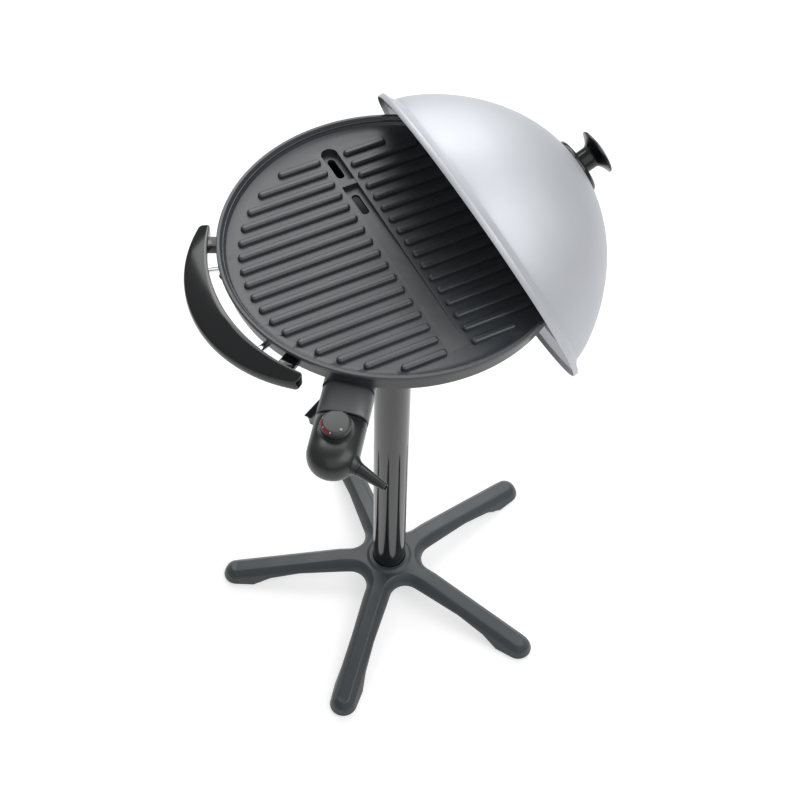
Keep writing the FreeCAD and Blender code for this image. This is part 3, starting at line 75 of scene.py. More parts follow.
def placeCamera():
    ahead = Vector(photoCamera["ahead"]).normalized()
    right = ahead.cross(Vector((0, 0, 1))).normalized()
    up = right.cross(ahead)
    rollCos, rollSin = math.cos(photoCamera["roll"]), math.sin(photoCamera["roll"])
    spunRight = right * rollCos + up * rollSin
    spunUp = up * rollCos - right * rollSin
    data = bpy.data.cameras.new("photoCamera")
    data.lens = photoCamera["lens"]
    data.sensor_width = photoCamera["sensor"]
    data.clip_start = photoCamera["clipStart"]
    camera = bpy.data.objects.new("photoCamera", data)
    turn = Matrix((spunRight, spunUp, -ahead)).transposed().to_4x4()
    camera.matrix_world = Matrix.Translation(Vector(photoCamera["place"])) @ turn
    scene.collection.objects.link(camera)
    scene.camera = camera


lamps = {
    "backSoftbox": {"place": (1.35, 2.05, 2.90), "aim": (0.0, 0.0, 0.70), "size": 3.0, "power": 74.0},
    "frontSoftbox": {"place": (-0.6, -1.9, 2.9), "aim": (0.1, 0.0, 0.65), "size": 3.0, "power": 20.0},
    "rightSoftbox": {"place": (1.55, -1.35, 2.9), "aim": (0.1, 0.0, 0.60), "size": 2.3, "power": 42.0},
    "leftStrip": {"place": (-0.05, 2.2, 3.0), "aim": (-0.2, 0.0, 0.75), "size": 0.9, "power": 7.5},
}


def placeLamps():
    for name, lamp in lamps.items():
        data = bpy.data.lights.new(name, "AREA")
        data.shape = "SQUARE"
        data.size = lamp["size"]
        data.energy = lamp["power"]
        obj = bpy.data.objects.new(name, data)
        way = Vector(lamp["aim"]) - Vector(lamp["place"])
        obj.location = lamp["place"]
        obj.rotation_mode = "QUATERNION"
        obj.rotation_quaternion = way.to_track_quat("-Z", "Y")
        scene.collection.objects.link(obj)


studio = {"skySeen": 0.95, "skyMirrored": 0.42, "skyLight": 0.14,
          "floorTone": 0.60, "floorLift": 0.62, "floorRough": 0.9, "floorHalf": 6.0}


def seenRays(tree):
    # 1 for rays that show the background: camera, glossy and transmission
    path = addNode(tree, "ShaderNodeLightPath")
    total = path.outputs["Is Camera Ray"]
    for name in ("Is Glossy Ray", "Is Transmission Ray"):
        join = addNode(tree, "ShaderNodeMath", operation="MAXIMUM")
        wire(tree, total, join.inputs[0])
        wire(tree, path.outputs[name], join.inputs[1])
        total = join.outputs[0]
    return total


def paintWorld():
    world = bpy.data.worlds.new("studioWorld")
    world.use_nodes = True
    world.cycles.sampling_method = "NONE"  # so that it counts in full where it is mirrored
    tree = world.node_tree
    back = tree.nodes["Background"]
    setInputs(back, {"Color": (1, 1, 1, 1)})
    mirrored = addNode(tree, "ShaderNodeMapRange")
    setInputs(mirrored, {"To Min": studio["skyLight"], "To Max": studio["skyMirrored"]})
    wire(tree, seenRays(tree), mirrored.inputs["Value"])
    level = addNode(tree, "ShaderNodeMapRange")
    setInputs(level, {"To Max": studio["skySeen"]})
    path = addNode(tree, "ShaderNodeLightPath")
    wire(tree, path.outputs["Is Camera Ray"], level.inputs["Value"])
    wire(tree, mirrored.outputs["Result"], level.inputs["To Min"])
    wire(tree, level.outputs["Result"], back.inputs["Strength"])
    scene.world = world


def layFloor():
    mesh = bpy.data.meshes.new("studioFloor")
    half, tone = studio["floorHalf"], studio["floorTone"]
    corners = [(-half, -half, 0), (half, -half, 0), (half, half, 0), (-half, half, 0)]
    mesh.from_pydata(corners, [], [(0, 1, 2, 3)])
    floor = bpy.data.objects.new("studioFloor", mesh)
    mat = bpy.data.materials.new("studioFloor")
    mat.use_nodes = True
    mat.cycles.emission_sampling = "NONE"  # so that its glow counts in full where it is mirrored
    tree = mat.node_tree
    shader = tree.nodes["Principled BSDF"]
    setInputs(shader, {"Base Color": (tone, tone, tone, 1), "Roughness": studio["floorRough"],
                       "Specular IOR Level": 0.0, "Emission Color": (1, 1, 1, 1)})
    level = addNode(tree, "ShaderNodeMapRange")
    setInputs(level, {"To Min": 0.0, "To Max": studio["floorLift"]})
    wire(tree, seenRays(tree), level.inputs["Value"])
    wire(tree, level.outputs["Result"], shader.inputs["Emission Strength"])
    mesh.materials.append(mat)
    scene.collection.objects.link(floor)


placeCamera()
placeLamps()
paintWorld()
layFloor()
scene.view_settings.view_transform = "Standard"
print("studio: camera, %d lamps, floor" % len(lamps))


# shader groups

def newGroup(name, inputs, outputs):
    # all sockets are plain values
    tree = bpy.data.node_groups.new(name, "ShaderNodeTree")
    for label, value in inputs.items():
        socket = tree.interface.new_socket(name=label, in_out="INPUT", socket_type="NodeSocketFloat")
        socket.default_value = value
    for label in outputs:
        tree.interface.new_socket(name=label, in_out="OUTPUT", socket_type="NodeSocketFloat")
    return tree, tree.nodes.new("NodeGroupInput"), tree.nodes.new("NodeGroupOutput")


def mixColours(tree, factor, first, second):
    mix = addNode(tree, "ShaderNodeMix", data_type="RGBA")
    wire(tree, factor, mix.inputs[0])
    for socket, source in ((mix.inputs[6], first), (mix.inputs[7], second)):
        if isinstance(source, tuple):
            socket.default_value = source
        else:
            wire(tree, source, socket)
    return mix.outputs[2]


grainLook = {"inputs": {"Scale": 900.0, "Cloud": 9.0}, "fineDetail": 3.0, "cloudDetail": 4.0,
             "cloudLow": 0.35, "cloudHigh": 0.65, "fineShare": 0.35}


def mouldedGrain():
    # fine grain of a moulded or sprayed surface: a height, and a mask for its tone
    tree, take, give = newGroup("mouldedGrain", grainLook["inputs"], ("Height", "Tone"))
    place = addNode(tree, "ShaderNodeTexCoord")
    fine = addNode(tree, "ShaderNodeTexNoise")
    cloud = addNode(tree, "ShaderNodeTexNoise")
    for noise, label, detail in ((fine, "Scale", "fineDetail"), (cloud, "Cloud", "cloudDetail")):
        setInputs(noise, {"Detail": grainLook[detail]})
        wire(tree, place.outputs["Object"], noise.inputs["Vector"])
        wire(tree, take.outputs[label], noise.inputs["Scale"])
    spread = addNode(tree, "ShaderNodeMapRange")
    setInputs(spread, {"From Min": grainLook["cloudLow"], "From Max": grainLook["cloudHigh"]})
    wire(tree, cloud.outputs["Fac"], spread.inputs["Value"])
    join = addNode(tree, "ShaderNodeMix", data_type="FLOAT")
    join.inputs[0].default_value = grainLook["fineShare"]
    wire(tree, spread.outputs["Result"], join.inputs[2])
    wire(tree, fine.outputs["Fac"], join.inputs[3])
    wire(tree, fine.outputs["Fac"], give.inputs["Height"])
    wire(tree, join.outputs[0], give.inputs["Tone"])
    return tree


smudgeLook = {"inputs": {"Scale": 14.0, "Low": 0.1, "High": 0.2}, "stretch": (1.0, 0.55, 1.6),
              "detail": 5.0, "distortion": 0.6, "noiseLow": 0.3, "noiseHigh": 0.7}


def handSmudge():
    # slow, streaky change of roughness, as handling and wiping leave it
    tree, take, give = newGroup("handSmudge", smudgeLook["inputs"], ("Rough",))
    place = addNode(tree, "ShaderNodeTexCoord")
    stretch = addNode(tree, "ShaderNodeMapping")
    setInputs(stretch, {"Scale": smudgeLook["stretch"]})
    noise = addNode(tree, "ShaderNodeTexNoise")
    setInputs(noise, {"Detail": smudgeLook["detail"], "Distortion": smudgeLook["distortion"]})
    wire(tree, place.outputs["Object"], stretch.inputs["Vector"])
    wire(tree, stretch.outputs["Vector"], noise.inputs["Vector"])
    wire(tree, take.outputs["Scale"], noise.inputs["Scale"])
    level = addNode(tree, "ShaderNodeMapRange")
    setInputs(level, {"From Min": smudgeLook["noiseLow"], "From Max": smudgeLook["noiseHigh"]})
    wire(tree, noise.outputs["Fac"], level.inputs["Value"])
    wire(tree, take.outputs["Low"], level.inputs["To Min"])
    wire(tree, take.outputs["High"], level.inputs["To Max"])
    wire(tree, level.outputs["Result"], give.inputs["Rough"])
    return tree


# painted highlight: an edge colour laid on sharp outer edges
paintedHighlightLook = {"inputs": {"Start": 0.53, "End": 0.62}, "scale": 60.0, "detail": 4.0}


def paintedEdgeHighlight():
    # mask of painted highlight on sharp outer edges, broken up by noise
    tree, take, give = newGroup("paintedEdgeHighlight", paintedHighlightLook["inputs"], ("Mask",))
    shape = addNode(tree, "ShaderNodeNewGeometry")
    level = addNode(tree, "ShaderNodeMapRange")
    wire(tree, shape.outputs["Pointiness"], level.inputs["Value"])
    wire(tree, take.outputs["Start"], level.inputs["From Min"])
    wire(tree, take.outputs["End"], level.inputs["From Max"])
    place = addNode(tree, "ShaderNodeTexCoord")
    noise = addNode(tree, "ShaderNodeTexNoise")
    setInputs(noise, {"Scale": paintedHighlightLook["scale"], "Detail": paintedHighlightLook["detail"]})
    wire(tree, place.outputs["Object"], noise.inputs["Vector"])
    cut = addNode(tree, "ShaderNodeMath", operation="MULTIPLY")
    wire(tree, level.outputs["Result"], cut.inputs[0])
    wire(tree, noise.outputs["Fac"], cut.inputs[1])
    wire(tree, cut.outputs[0], give.inputs["Mask"])
    return tree


groups = {"grain": mouldedGrain(), "smudge": handSmudge(), "paintedHighlight": paintedEdgeHighlight()}
print("shader groups: %d" % len(groups))


# finishes: one for each of the record's slots, then four for the neck (a light grey that is a painted
# reflection), the pan and the dial's print

# each finish's third colour is a painted highlight, laid on its sharp outer edges
finishes = {
    "grey_plastic": {
        "tone": (0.056, 0.065, 0.071), "dark": (0.044, 0.052, 0.058), "paintedHighlight": (0.090, 0.094, 0.098),
        "rough": (0.38, 0.46), "grain": 1500.0, "bump": 0.05, "ior": 1.52},
    "foot_rubber": {
        "tone": (0.020, 0.020, 0.021), "dark": (0.014, 0.014, 0.015), "paintedHighlight": (0.035, 0.035, 0.036),
        "rough": (0.70, 0.85), "grain": 900.0, "bump": 0.12, "ior": 1.50},
    "column_paint": {
        "tone": (0.010, 0.011, 0.013), "dark": (0.008, 0.009, 0.011), "paintedHighlight": (0.014, 0.015, 0.017),
        "rough": (0.05, 0.09), "grain": 220.0, "bump": 0.004, "ior": 1.70},
    "dark_plastic": {
        "tone": (0.022, 0.023, 0.026), "dark": (0.016, 0.017, 0.019), "paintedHighlight": (0.040, 0.041, 0.044),
        "rough": (0.30, 0.40), "grain": 1200.0, "bump": 0.03, "ior": 1.50},
    "case_plastic": {
        "tone": (0.017, 0.019, 0.019), "dark": (0.012, 0.014, 0.014), "paintedHighlight": (0.040, 0.042, 0.042),
        "rough": (0.28, 0.36), "grain": 1400.0, "bump": 0.03, "ior": 1.52},
    "gloss_black": {
        "tone": (0.007, 0.008, 0.009), "dark": (0.006, 0.006, 0.007), "paintedHighlight": (0.016, 0.016, 0.017),
        "rough": (0.05, 0.10), "grain": 300.0, "bump": 0.006, "ior": 1.50},
    "dial_plastic": {
        "tone": (0.054, 0.057, 0.057), "dark": (0.045, 0.048, 0.048), "paintedHighlight": (0.15, 0.155, 0.155),
        "rough": (0.30, 0.38), "grain": 1600.0, "bump": 0.02, "ior": 1.50},
    "coated_cast": {
        "tone": (0.046, 0.053, 0.061), "dark": (0.036, 0.042, 0.049), "paintedHighlight": (0.090, 0.093, 0.100),
        "rough": (0.36, 0.43), "grain": 1100.0, "bump": 0.07, "ior": 1.60},
    "element_steel": {
        "tone": (0.35, 0.33, 0.31), "dark": (0.22, 0.20, 0.19), "paintedHighlight": (0.45, 0.43, 0.40),
        "rough": (0.40, 0.55), "grain": 700.0, "bump": 0.05, "metal": 1.0},
    "contact_brass": {
        "tone": (0.78, 0.60, 0.30), "dark": (0.60, 0.44, 0.20), "paintedHighlight": (0.85, 0.70, 0.42),
        "rough": (0.22, 0.35), "grain": 700.0, "bump": 0.02, "metal": 1.0},
    "steel": {
        "tone": (0.60, 0.60, 0.60), "dark": (0.48, 0.48, 0.49), "paintedHighlight": (0.72, 0.72, 0.72),
        "rough": (0.25, 0.38), "grain": 900.0, "bump": 0.02, "metal": 1.0},
    "bright_steel": {
        "tone": (0.78, 0.78, 0.79), "dark": (0.66, 0.66, 0.67), "paintedHighlight": (0.85, 0.85, 0.85),
        "rough": (0.06, 0.12), "grain": 500.0, "bump": 0.004, "metal": 1.0},
    "reflector_sheet": {
        "tone": (0.75, 0.75, 0.76), "dark": (0.62, 0.62, 0.63), "paintedHighlight": (0.80, 0.80, 0.80),
        "rough": (0.20, 0.32), "grain": 500.0, "bump": 0.02, "metal": 1.0},
    "tray_sheet": {
        "tone": (0.030, 0.031, 0.033), "dark": (0.022, 0.023, 0.025), "paintedHighlight": (0.07, 0.07, 0.072),
        "rough": (0.28, 0.40), "grain": 700.0, "bump": 0.02, "ior": 1.55},
    "lid_metal": {
        "tone": (0.560, 0.575, 0.605), "dark": (0.530, 0.545, 0.575), "paintedHighlight": (0.80, 0.81, 0.83),
        "rough": (0.58, 0.64), "grain": 2200.0, "bump": 0.02, "metal": 1.0},
    # the neck's dark plastic given a light grey tone: a painted reflection of the bright studio
    "neck_painted_reflection": {
        "tone": (0.160, 0.166, 0.175), "dark": (0.138, 0.144, 0.153), "paintedHighlight": (0.15, 0.155, 0.163),
        "rough": (0.30, 0.38), "grain": 1200.0, "bump": 0.03, "ior": 1.50},
    "pan_enamel": {
        "tone": (0.016, 0.017, 0.020), "dark": (0.012, 0.013, 0.015), "paintedHighlight": (0.030, 0.031, 0.034),
        "rough": (0.28, 0.36), "grain": 900.0, "bump": 0.03, "ior": 1.48},
    "print_red": {
        "tone": (0.42, 0.012, 0.030), "dark": (0.34, 0.010, 0.024), "paintedHighlight": (0.50, 0.05, 0.06),
        "rough": (0.40, 0.50), "grain": 1600.0, "bump": 0.02, "ior": 1.50},
    "print_white": {
        "tone": (0.75, 0.75, 0.75), "dark": (0.64, 0.64, 0.64), "paintedHighlight": (0.80, 0.80, 0.80),
        "rough": (0.45, 0.55), "grain": 1600.0, "bump": 0.02, "ior": 1.50},
}
plainIor = 1.5  # for finishes that give none
grainDepth = 0.4  # mm


def paintFinish(name, look):
    mat = bpy.data.materials.new(name)
    mat.use_nodes = True
    tree = mat.node_tree
    shader = tree.nodes["Principled BSDF"]
    setInputs(shader, {"Metallic": look.get("metal", 0.0), "IOR": look.get("ior", plainIor)})
    grain = addNode(tree, "ShaderNodeGroup", node_tree=groups["grain"])
    setInputs(grain, {"Scale": look["grain"]})
    smudge = addNode(tree, "ShaderNodeGroup", node_tree=groups["smudge"])
    setInputs(smudge, {"Low": look["rough"][0], "High": look["rough"][1]})
    paintedHighlight = addNode(tree, "ShaderNodeGroup", node_tree=groups["paintedHighlight"])
    body = mixColours(tree, grain.outputs["Tone"], (*look["dark"], 1), (*look["tone"], 1))
    # painted highlight: the edge colour mixed in where the edge mask is high
    colour = mixColours(tree, paintedHighlight.outputs["Mask"], body, (*look["paintedHighlight"], 1))
    wire(tree, colour, shader.inputs["Base Color"])
    wire(tree, smudge.outputs["Rough"], shader.inputs["Roughness"])
    bump = addNode(tree, "ShaderNodeBump")
    setInputs(bump, {"Strength": look["bump"], "Distance": grainDepth * mm})
    wire(tree, grain.outputs["Height"], bump.inputs["Height"])
    wire(tree, bump.outputs["Normal"], shader.inputs["Normal"])
    return mat


materials = {name: paintFinish(name, look) for name, look in finishes.items()}
slotOf = {row["node"]: row["material_slot"] for row in frame["record"]["subparts"]}
# the neck takes the light grey finish, a painted reflection
finishOf = {**slotOf, "base_pan": "pan_enamel", "socket_shroud": "neck_painted_reflection"}
bodyOf = {node: body for body, members in frame["record"]["behaviour"]["bodies"].items() for node in members}
for node, obj in nodes.items():
    obj.data.materials.clear()
    obj.data.materials.append(materials[finishOf[node]])
print("finishes: %d" % len(materials))


# tools for the modelled pieces

weldGap = 0.01  # points of a solid closer than this, in mm, become one
axisRadius = 0.001  # a lathe ring smaller than this, in mm, is one point
roundShare = 0.29  # where a rounded corner's middle lies, as a share of its radius


def addPiece(name, mesh, node, finish=None):
    # a modelled piece with the body and the slot of its solid
    obj = bpy.data.objects.new(name, mesh)
    scene.collection.objects.link(obj)
    mesh.materials.clear()
    mesh.materials.append(materials[finish or finishOf[node]])
    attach(obj, bodyOf[node])
    return obj


def meshFrom(bm, name):
    bmesh.ops.recalc_face_normals(bm, faces=bm.faces)
    mesh = bpy.data.meshes.new(name)
    bm.to_mesh(mesh)
    bm.free()
    return mesh


def smoothFaces(mesh, degrees):
    mesh.shade_smooth()
    mesh.set_sharp_from_angle(angle=math.radians(degrees))


def cornerPoints(radius, height, offsets):
    # a softened corner of a lathe outline, as steps off the sharp one
    return [(radius + out, height + up) for out, up in offsets]


def skinRows(bm, rows, closed):
    # faces between neighbouring rows of points
    count = len(rows[0])
    for first, second in zip(rows, rows[1:]):
        for i in range(count if closed else count - 1):
            j = (i + 1) % count
            bm.faces.new((first[i], first[j], second[j], second[i]))


def roundEdges(bm, edges, width):
    bmesh.ops.bevel(bm, geom=edges, offset=width * mm, offset_type="OFFSET", segments=2, profile=0.5,
                    affect="EDGES", clamp_overlap=True)


def latheInto(bm, outline, turns, place):
    # outline: (radius, height) in mm; a closed ring where both ends are off the axis
    rings = []
    for radius, height in outline:
        angles = [2 * math.pi * i / turns for i in range(turns if radius > axisRadius else 1)]
        rings.append([bm.verts.new((radius * mm * math.cos(a), radius * mm * math.sin(a), height * mm))
                      for a in angles])
    pairs = list(zip(rings, rings[1:]))
    if len(rings[0]) > 1 and len(rings[-1]) > 1:
        pairs.append((rings[-1], rings[0]))
    for low, high in pairs:
        for i in range(turns):
            j = (i + 1) % turns
            corners = [low[i % len(low)], low[j % len(low)], high[j % len(high)], high[i % len(high)]]
            distinct = list(dict.fromkeys(corners))
            if len(distinct) > 2:
                bm.faces.new(distinct)
    bmesh.ops.transform(bm, matrix=place, verts=[vert for ring in rings for vert in ring])


def latheMesh(name, outline, turns, place):
    bm = bmesh.new()
    latheInto(bm, outline, turns, place)
    return meshFrom(bm, name)


# column: one long gloss tube

column = {"outer": 24.5, "inner": 23.0, "low": 37.0, "high": 713.0, "edge": 0.4, "turns": 160, "shade": 30.0}


def makeColumn():
    inner, outer, edge = column["inner"], column["outer"], column["edge"]
    low, high = column["low"], column["high"]
    outline = [(inner, low), (outer - edge, low), (outer, low + edge),
               (outer, high - edge), (outer - edge, high), (inner, high)]
    mesh = latheMesh("column_gloss", outline, column["turns"], Matrix.Identity(4))
    smoothFaces(mesh, column["shade"])
    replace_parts(addPiece("column_gloss", mesh, "column_tube"), "column_tube")


makeColumn()
print("column: 1")


# lid: spun dome with a stepped flange, its shield and its knob

lid = {"rim": 206.1, "lipHeight": 7.0, "lipWidth": 5.0, "base": 191.3, "baseHeight": 14.9, "height": 152.0,
       "wall": 1.2, "crownPower": 2.07, "shoulderPower": 1.28, "hole": 4.0, "holeDip": 0.02,
       "lipFoot": ((-0.9, 0.0), (-0.25, 0.15), (0.0, 0.6)),
       "lipTop": ((0.0, -1.0), (-0.3, -0.3), (-1.0, 0.0)),
       "stepFoot": ((1.2, 0.05), (0.0, 0.3), (-1.0, 0.95)), "hem": ((1.6, -1.6), (0.5, -0.5)),
       "insideFoot": 0.3, "insideStep": 0.2, "outsideSteps": 56, "insideSteps": 40, "turns": 224,
       "shade": 34.0, "tilt": 23.0, "x": 111.08, "drop": 57.3}
lidPlace = (Matrix.Translation(Vector((lid["x"], 0, rimHeight - lid["drop"])) * mm)
            @ Matrix.Rotation(math.radians(90 - lid["tilt"]), 4, "Y"))


def domeOutline(shrink, steps):
    # from the dome's foot to the knob screw's hole
    base = lid["base"] - shrink
    rise = lid["height"] - lid["baseHeight"] - shrink
    points = []
    for i in range(steps + 1):
        angle = math.pi / 2 * i / steps
        share = math.sin(angle) ** (2 / lid["shoulderPower"])
        radius = base * max(0.0, 1 - share ** lid["shoulderPower"]) ** (1 / lid["crownPower"])
        if radius > lid["hole"]:
            points.append((radius, lid["baseHeight"] + rise * share))
    points.append((lid["hole"], lid["height"] - shrink - lid["holeDip"]))
    return points


def makeLid():
    rim, lip, wall = lid["rim"], lid["lipHeight"], lid["wall"]
    step = rim - lid["lipWidth"]
    outside = cornerPoints(rim, 0.0, lid["lipFoot"]) + cornerPoints(rim, lip, lid["lipTop"])
    outside += cornerPoints(step, lip, lid["stepFoot"])
    outside += cornerPoints(lid["base"], lid["baseHeight"], lid["hem"])
    outside += domeOutline(0, lid["outsideSteps"])
    inside = [(rim - wall, lid["insideFoot"]), (rim - wall, lip - wall),
              (step, lip - wall + lid["insideStep"])]
    inside += domeOutline(wall, lid["insideSteps"])
    mesh = latheMesh("lid_shell", outside + inside[::-1], lid["turns"], lidPlace)
    smoothFaces(mesh, lid["shade"])
    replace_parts(addPiece("lid_shell", mesh, "lid_dome"), "lid_dome")


shield = {"radius": 36.5, "thick": 4.0, "hole": 3.0, "stem": 14.0, "stemLedge": 1.5, "lift": 0.05,
          "underRings": (10.0, 18.0, 26.0, 32.0), "edgeIn": 0.8, "foot": ((-0.2, 0.2), (0.0, 0.8)),
          "brow": ((0.0, -0.8), (-0.4, 0.2)), "crown": ((-1.6, 0.6), (-4.0, 1.9), (-9.0, 2.6), (-15.0, 3.4)),
          "turns": 128, "shade": 40.0}


def domeHeight(radius):
    share = (1 - (radius / lid["base"]) ** lid["crownPower"]) ** (1 / lid["shoulderPower"])
    return lid["baseHeight"] + (lid["height"] - lid["baseHeight"]) * share


def makeShield():
    edge, hole, crown = shield["radius"], shield["hole"], lid["height"]
    top = crown + shield["thick"]
    under = (hole, *shield["underRings"], edge - shield["edgeIn"])
    outline = [(radius, domeHeight(radius) + shield["lift"]) for radius in under]
    outline += cornerPoints(edge, domeHeight(edge), shield["foot"])
    outline += cornerPoints(edge, crown - shield["thick"] / 2, shield["brow"])
    outline += cornerPoints(edge, crown, shield["crown"])
    outline += [(shield["stem"] + shield["stemLedge"], top), (hole, top)]
    mesh = latheMesh("knob_shield_disc", outline, shield["turns"], lidPlace)
    smoothFaces(mesh, shield["shade"])
    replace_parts(addPiece("knob_shield_disc", mesh, "knob_shield"), "knob_shield")


knob = {"bore": 3.0, "boreDeep": 14.0, "stem": 14.0, "stemHeight": 14.0, "stemEdge": 0.5, "radius": 29.0,
        "flare": 8.5, "flareDrop": 2.0, "flareIn": 0.8, "flareOutPower": 1.9, "flareUpPower": 0.85,
        "flareSteps": 10, "brim": 3.0, "brimFoot": ((-0.2, 0.3), (0.0, 0.9)),
        "brimTop": ((0.0, -0.9), (-0.3, -0.2), (-1.1, 0.3)), "crown": 5.5, "crownSteps": 12,
        "turns": 128, "shade": 35.0}


def makeKnob():
    stem, radius = knob["stem"], knob["radius"]
    foot = lid["height"] + shield["thick"]
    boreEnd = foot + knob["boreDeep"]
    neckTop = foot + knob["stemHeight"]
    flareFoot = neckTop - knob["flareDrop"]
    brim = neckTop + knob["flare"]
    crown = brim + knob["brim"]
    outline = [(0.0, boreEnd), (knob["bore"], boreEnd), (knob["bore"], foot),
               (stem - knob["stemEdge"], foot), (stem, foot + knob["stemEdge"])]
    for i in range(knob["flareSteps"] + 1):
        share = i / knob["flareSteps"]
        outline.append((stem + (radius - knob["flareIn"] - stem) * share ** knob["flareOutPower"],
                        flareFoot + (brim - flareFoot) * share ** knob["flareUpPower"]))
    outline += cornerPoints(radius, brim, knob["brimFoot"]) + cornerPoints(radius, crown, knob["brimTop"])
    capRadius, capFoot = outline[-1]
    for i in range(1, knob["crownSteps"] + 1):
        share = 1 - i / knob["crownSteps"]
        outline.append((capRadius * share, capFoot + (crown + knob["crown"] - capFoot) * (1 - share ** 2)))
    mesh = latheMesh("lid_knob_gloss", outline, knob["turns"], lidPlace)
    smoothFaces(mesh, knob["shade"])
    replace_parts(addPiece("lid_knob_gloss", mesh, "lid_knob"), "lid_knob")


makeLid()
makeShield()
makeKnob()
print("lid: shell, shield and knob")


# handles: crescents whose tops fall outward, each with two square lugs

handle = {"inner": 219.0, "middle": 253.4, "tip": 232.0, "spread": 34.6, "top": -8.0, "low": -25.0,
          "corner": 4.0, "rim": 1.5, "brow": 2.2, "browLift": 0.2, "slope": 0.19, "bow": 0.03,
          "endDepths": (0.0, 0.2, 0.6, 1.5, 2.6, 4.0), "midDepth": 9.0, "across": 7, "along": 18,
          "shade": 35.0}
lug = {"turn": 28.0, "from": 203.0, "to": 224.0, "wide": 18.0, "low": -22.0, "top": -11.0, "edge": 1.6}


def crescentEdge():
    # centre and radius of the outer arc through its middle and both tips
    middle, tip = handle["middle"], handle["tip"]
    centre = (middle ** 2 - tip ** 2) / (2 * (middle - tip * math.cos(math.radians(handle["spread"]))))
    return centre, middle - centre


def roundIn(depth, radius):
    # how far a rounded end stands back at this depth
    return radius - math.sqrt(max(0.0, radius ** 2 - max(0.0, radius - depth) ** 2))


def handleProfile(angle, depth):
    centre, radius = crescentEdge()
    reach = centre * math.cos(angle) + math.sqrt(radius ** 2 - (centre * math.sin(angle)) ** 2)
    inset = roundIn(depth, handle["corner"])
    dip = roundIn(depth, handle["rim"])
    near, far, full = handle["inner"] + inset, reach - inset, reach - handle["inner"]

    def topAt(r):
        share = (r - handle["inner"]) / full
        return handle["top"] - dip - full * (handle["slope"] * share + handle["bow"] * share ** 2)

    rim, brow, low = handle["rim"], handle["brow"], handle["low"] + dip
    rimIn, browIn = roundShare * rim, roundShare * brow
    browTop = topAt(far) + handle["browLift"]
    points = [(near, topAt(near) - rim), (near + rimIn, topAt(near) - rimIn)]
    for i in range(handle["across"] + 1):
        r = near + rim + (far - brow - near - rim) * i / handle["across"]
        points.append((r, topAt(r)))
    points += [(far - browIn, browTop - browIn), (far, browTop - brow)]
    points += [(far, low + rim), (far - rimIn, low + rimIn), (far - rim, low)]
    points += [(near + rim, low), (near + rimIn, low + rimIn), (near, low + rim)]
    return points


def addLugs(bm):
    size = Vector((lug["to"] - lug["from"], lug["wide"], lug["top"] - lug["low"])) * mm
    middle = Vector(((lug["to"] + lug["from"]) / 2, 0, (lug["top"] + lug["low"]) / 2)) * mm
    for side in (-1, 1):
        place = Matrix.Rotation(math.radians(side * lug["turn"]), 4, "Z") @ Matrix.Translation(middle)
        cube = bmesh.ops.create_cube(bm, size=1.0, matrix=place @ Matrix.Diagonal((*size, 1)))
        roundEdges(bm, list({e for v in cube["verts"] for e in v.link_edges}), lug["edge"])


def makeHandle(node, turn):
    ends = [handle["spread"] - math.degrees(depth / handle["tip"]) for depth in handle["endDepths"]]
    inside = [ends[-1] * (1 - i / handle["along"]) for i in range(1, handle["along"])]
    half = list(zip(ends, handle["endDepths"])) + [(angle, handle["midDepth"]) for angle in inside]
    stations = half + [(0.0, handle["midDepth"])] + [(-angle, depth) for angle, depth in reversed(half)]
    bm = bmesh.new()
    rows = []
    for angle, depth in stations:
        a = math.radians(angle)
        rows.append([bm.verts.new((r * math.cos(a) * mm, r * math.sin(a) * mm, z * mm))
                     for r, z in handleProfile(a, depth)])
    skinRows(bm, rows, True)
    bm.faces.new(rows[0])
    bm.faces.new(rows[-1])
    addLugs(bm)
    place = Matrix.Translation((0, 0, rimHeight * mm)) @ Matrix.Rotation(math.radians(turn), 4, "Z")
    bmesh.ops.transform(bm, matrix=place, verts=bm.verts)
    mesh = meshFrom(bm, node + "_crescent")
    smoothFaces(mesh, handle["shade"])
    for face in mesh.polygons:
        face.use_smooth = len(face.vertices) < 5  # the end faces stay flat
    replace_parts(addPiece(node + "_crescent", mesh, node), node)


makeHandle("handle_right", 0.0)
makeHandle("handle_left", 180.0)
print("handles: 2")


# thermostat: arched neck, egg-shaped case, cord sleeve and dial, set out along the plug's line

plug = {"turn": 231.5, "side": -16.7}
plugPlace = (Matrix.Translation((0, 0, rimHeight * mm)) @ Matrix.Rotation(math.radians(plug["turn"]), 4, "Z")
             @ Matrix.Translation((0, plug["side"] * mm, 0)))
neck = {"cut": 196.0, "cutGap": 0.001, "overlap": 1.0, "end": 232.0, "half": 29.5, "mid": -52.5, "rise": 21.5,
        "bow": 2.5, "wall": 2.6, "edge": 0.9, "dip": 5.0, "dipFrom": 204.0, "along": 6, "around": 72,
        "shade": 40.0}


def archPoint(half, rise, dip, bow, angle):
    # one point of a softened ellipse, its top lowered by the dip
    side, up = math.cos(angle), math.sin(angle)
    high = rise - dip if up > 0 else rise
    return (half * math.copysign(abs(side) ** (2 / bow), side),
            high * math.copysign(abs(up) ** (2 / bow), up))


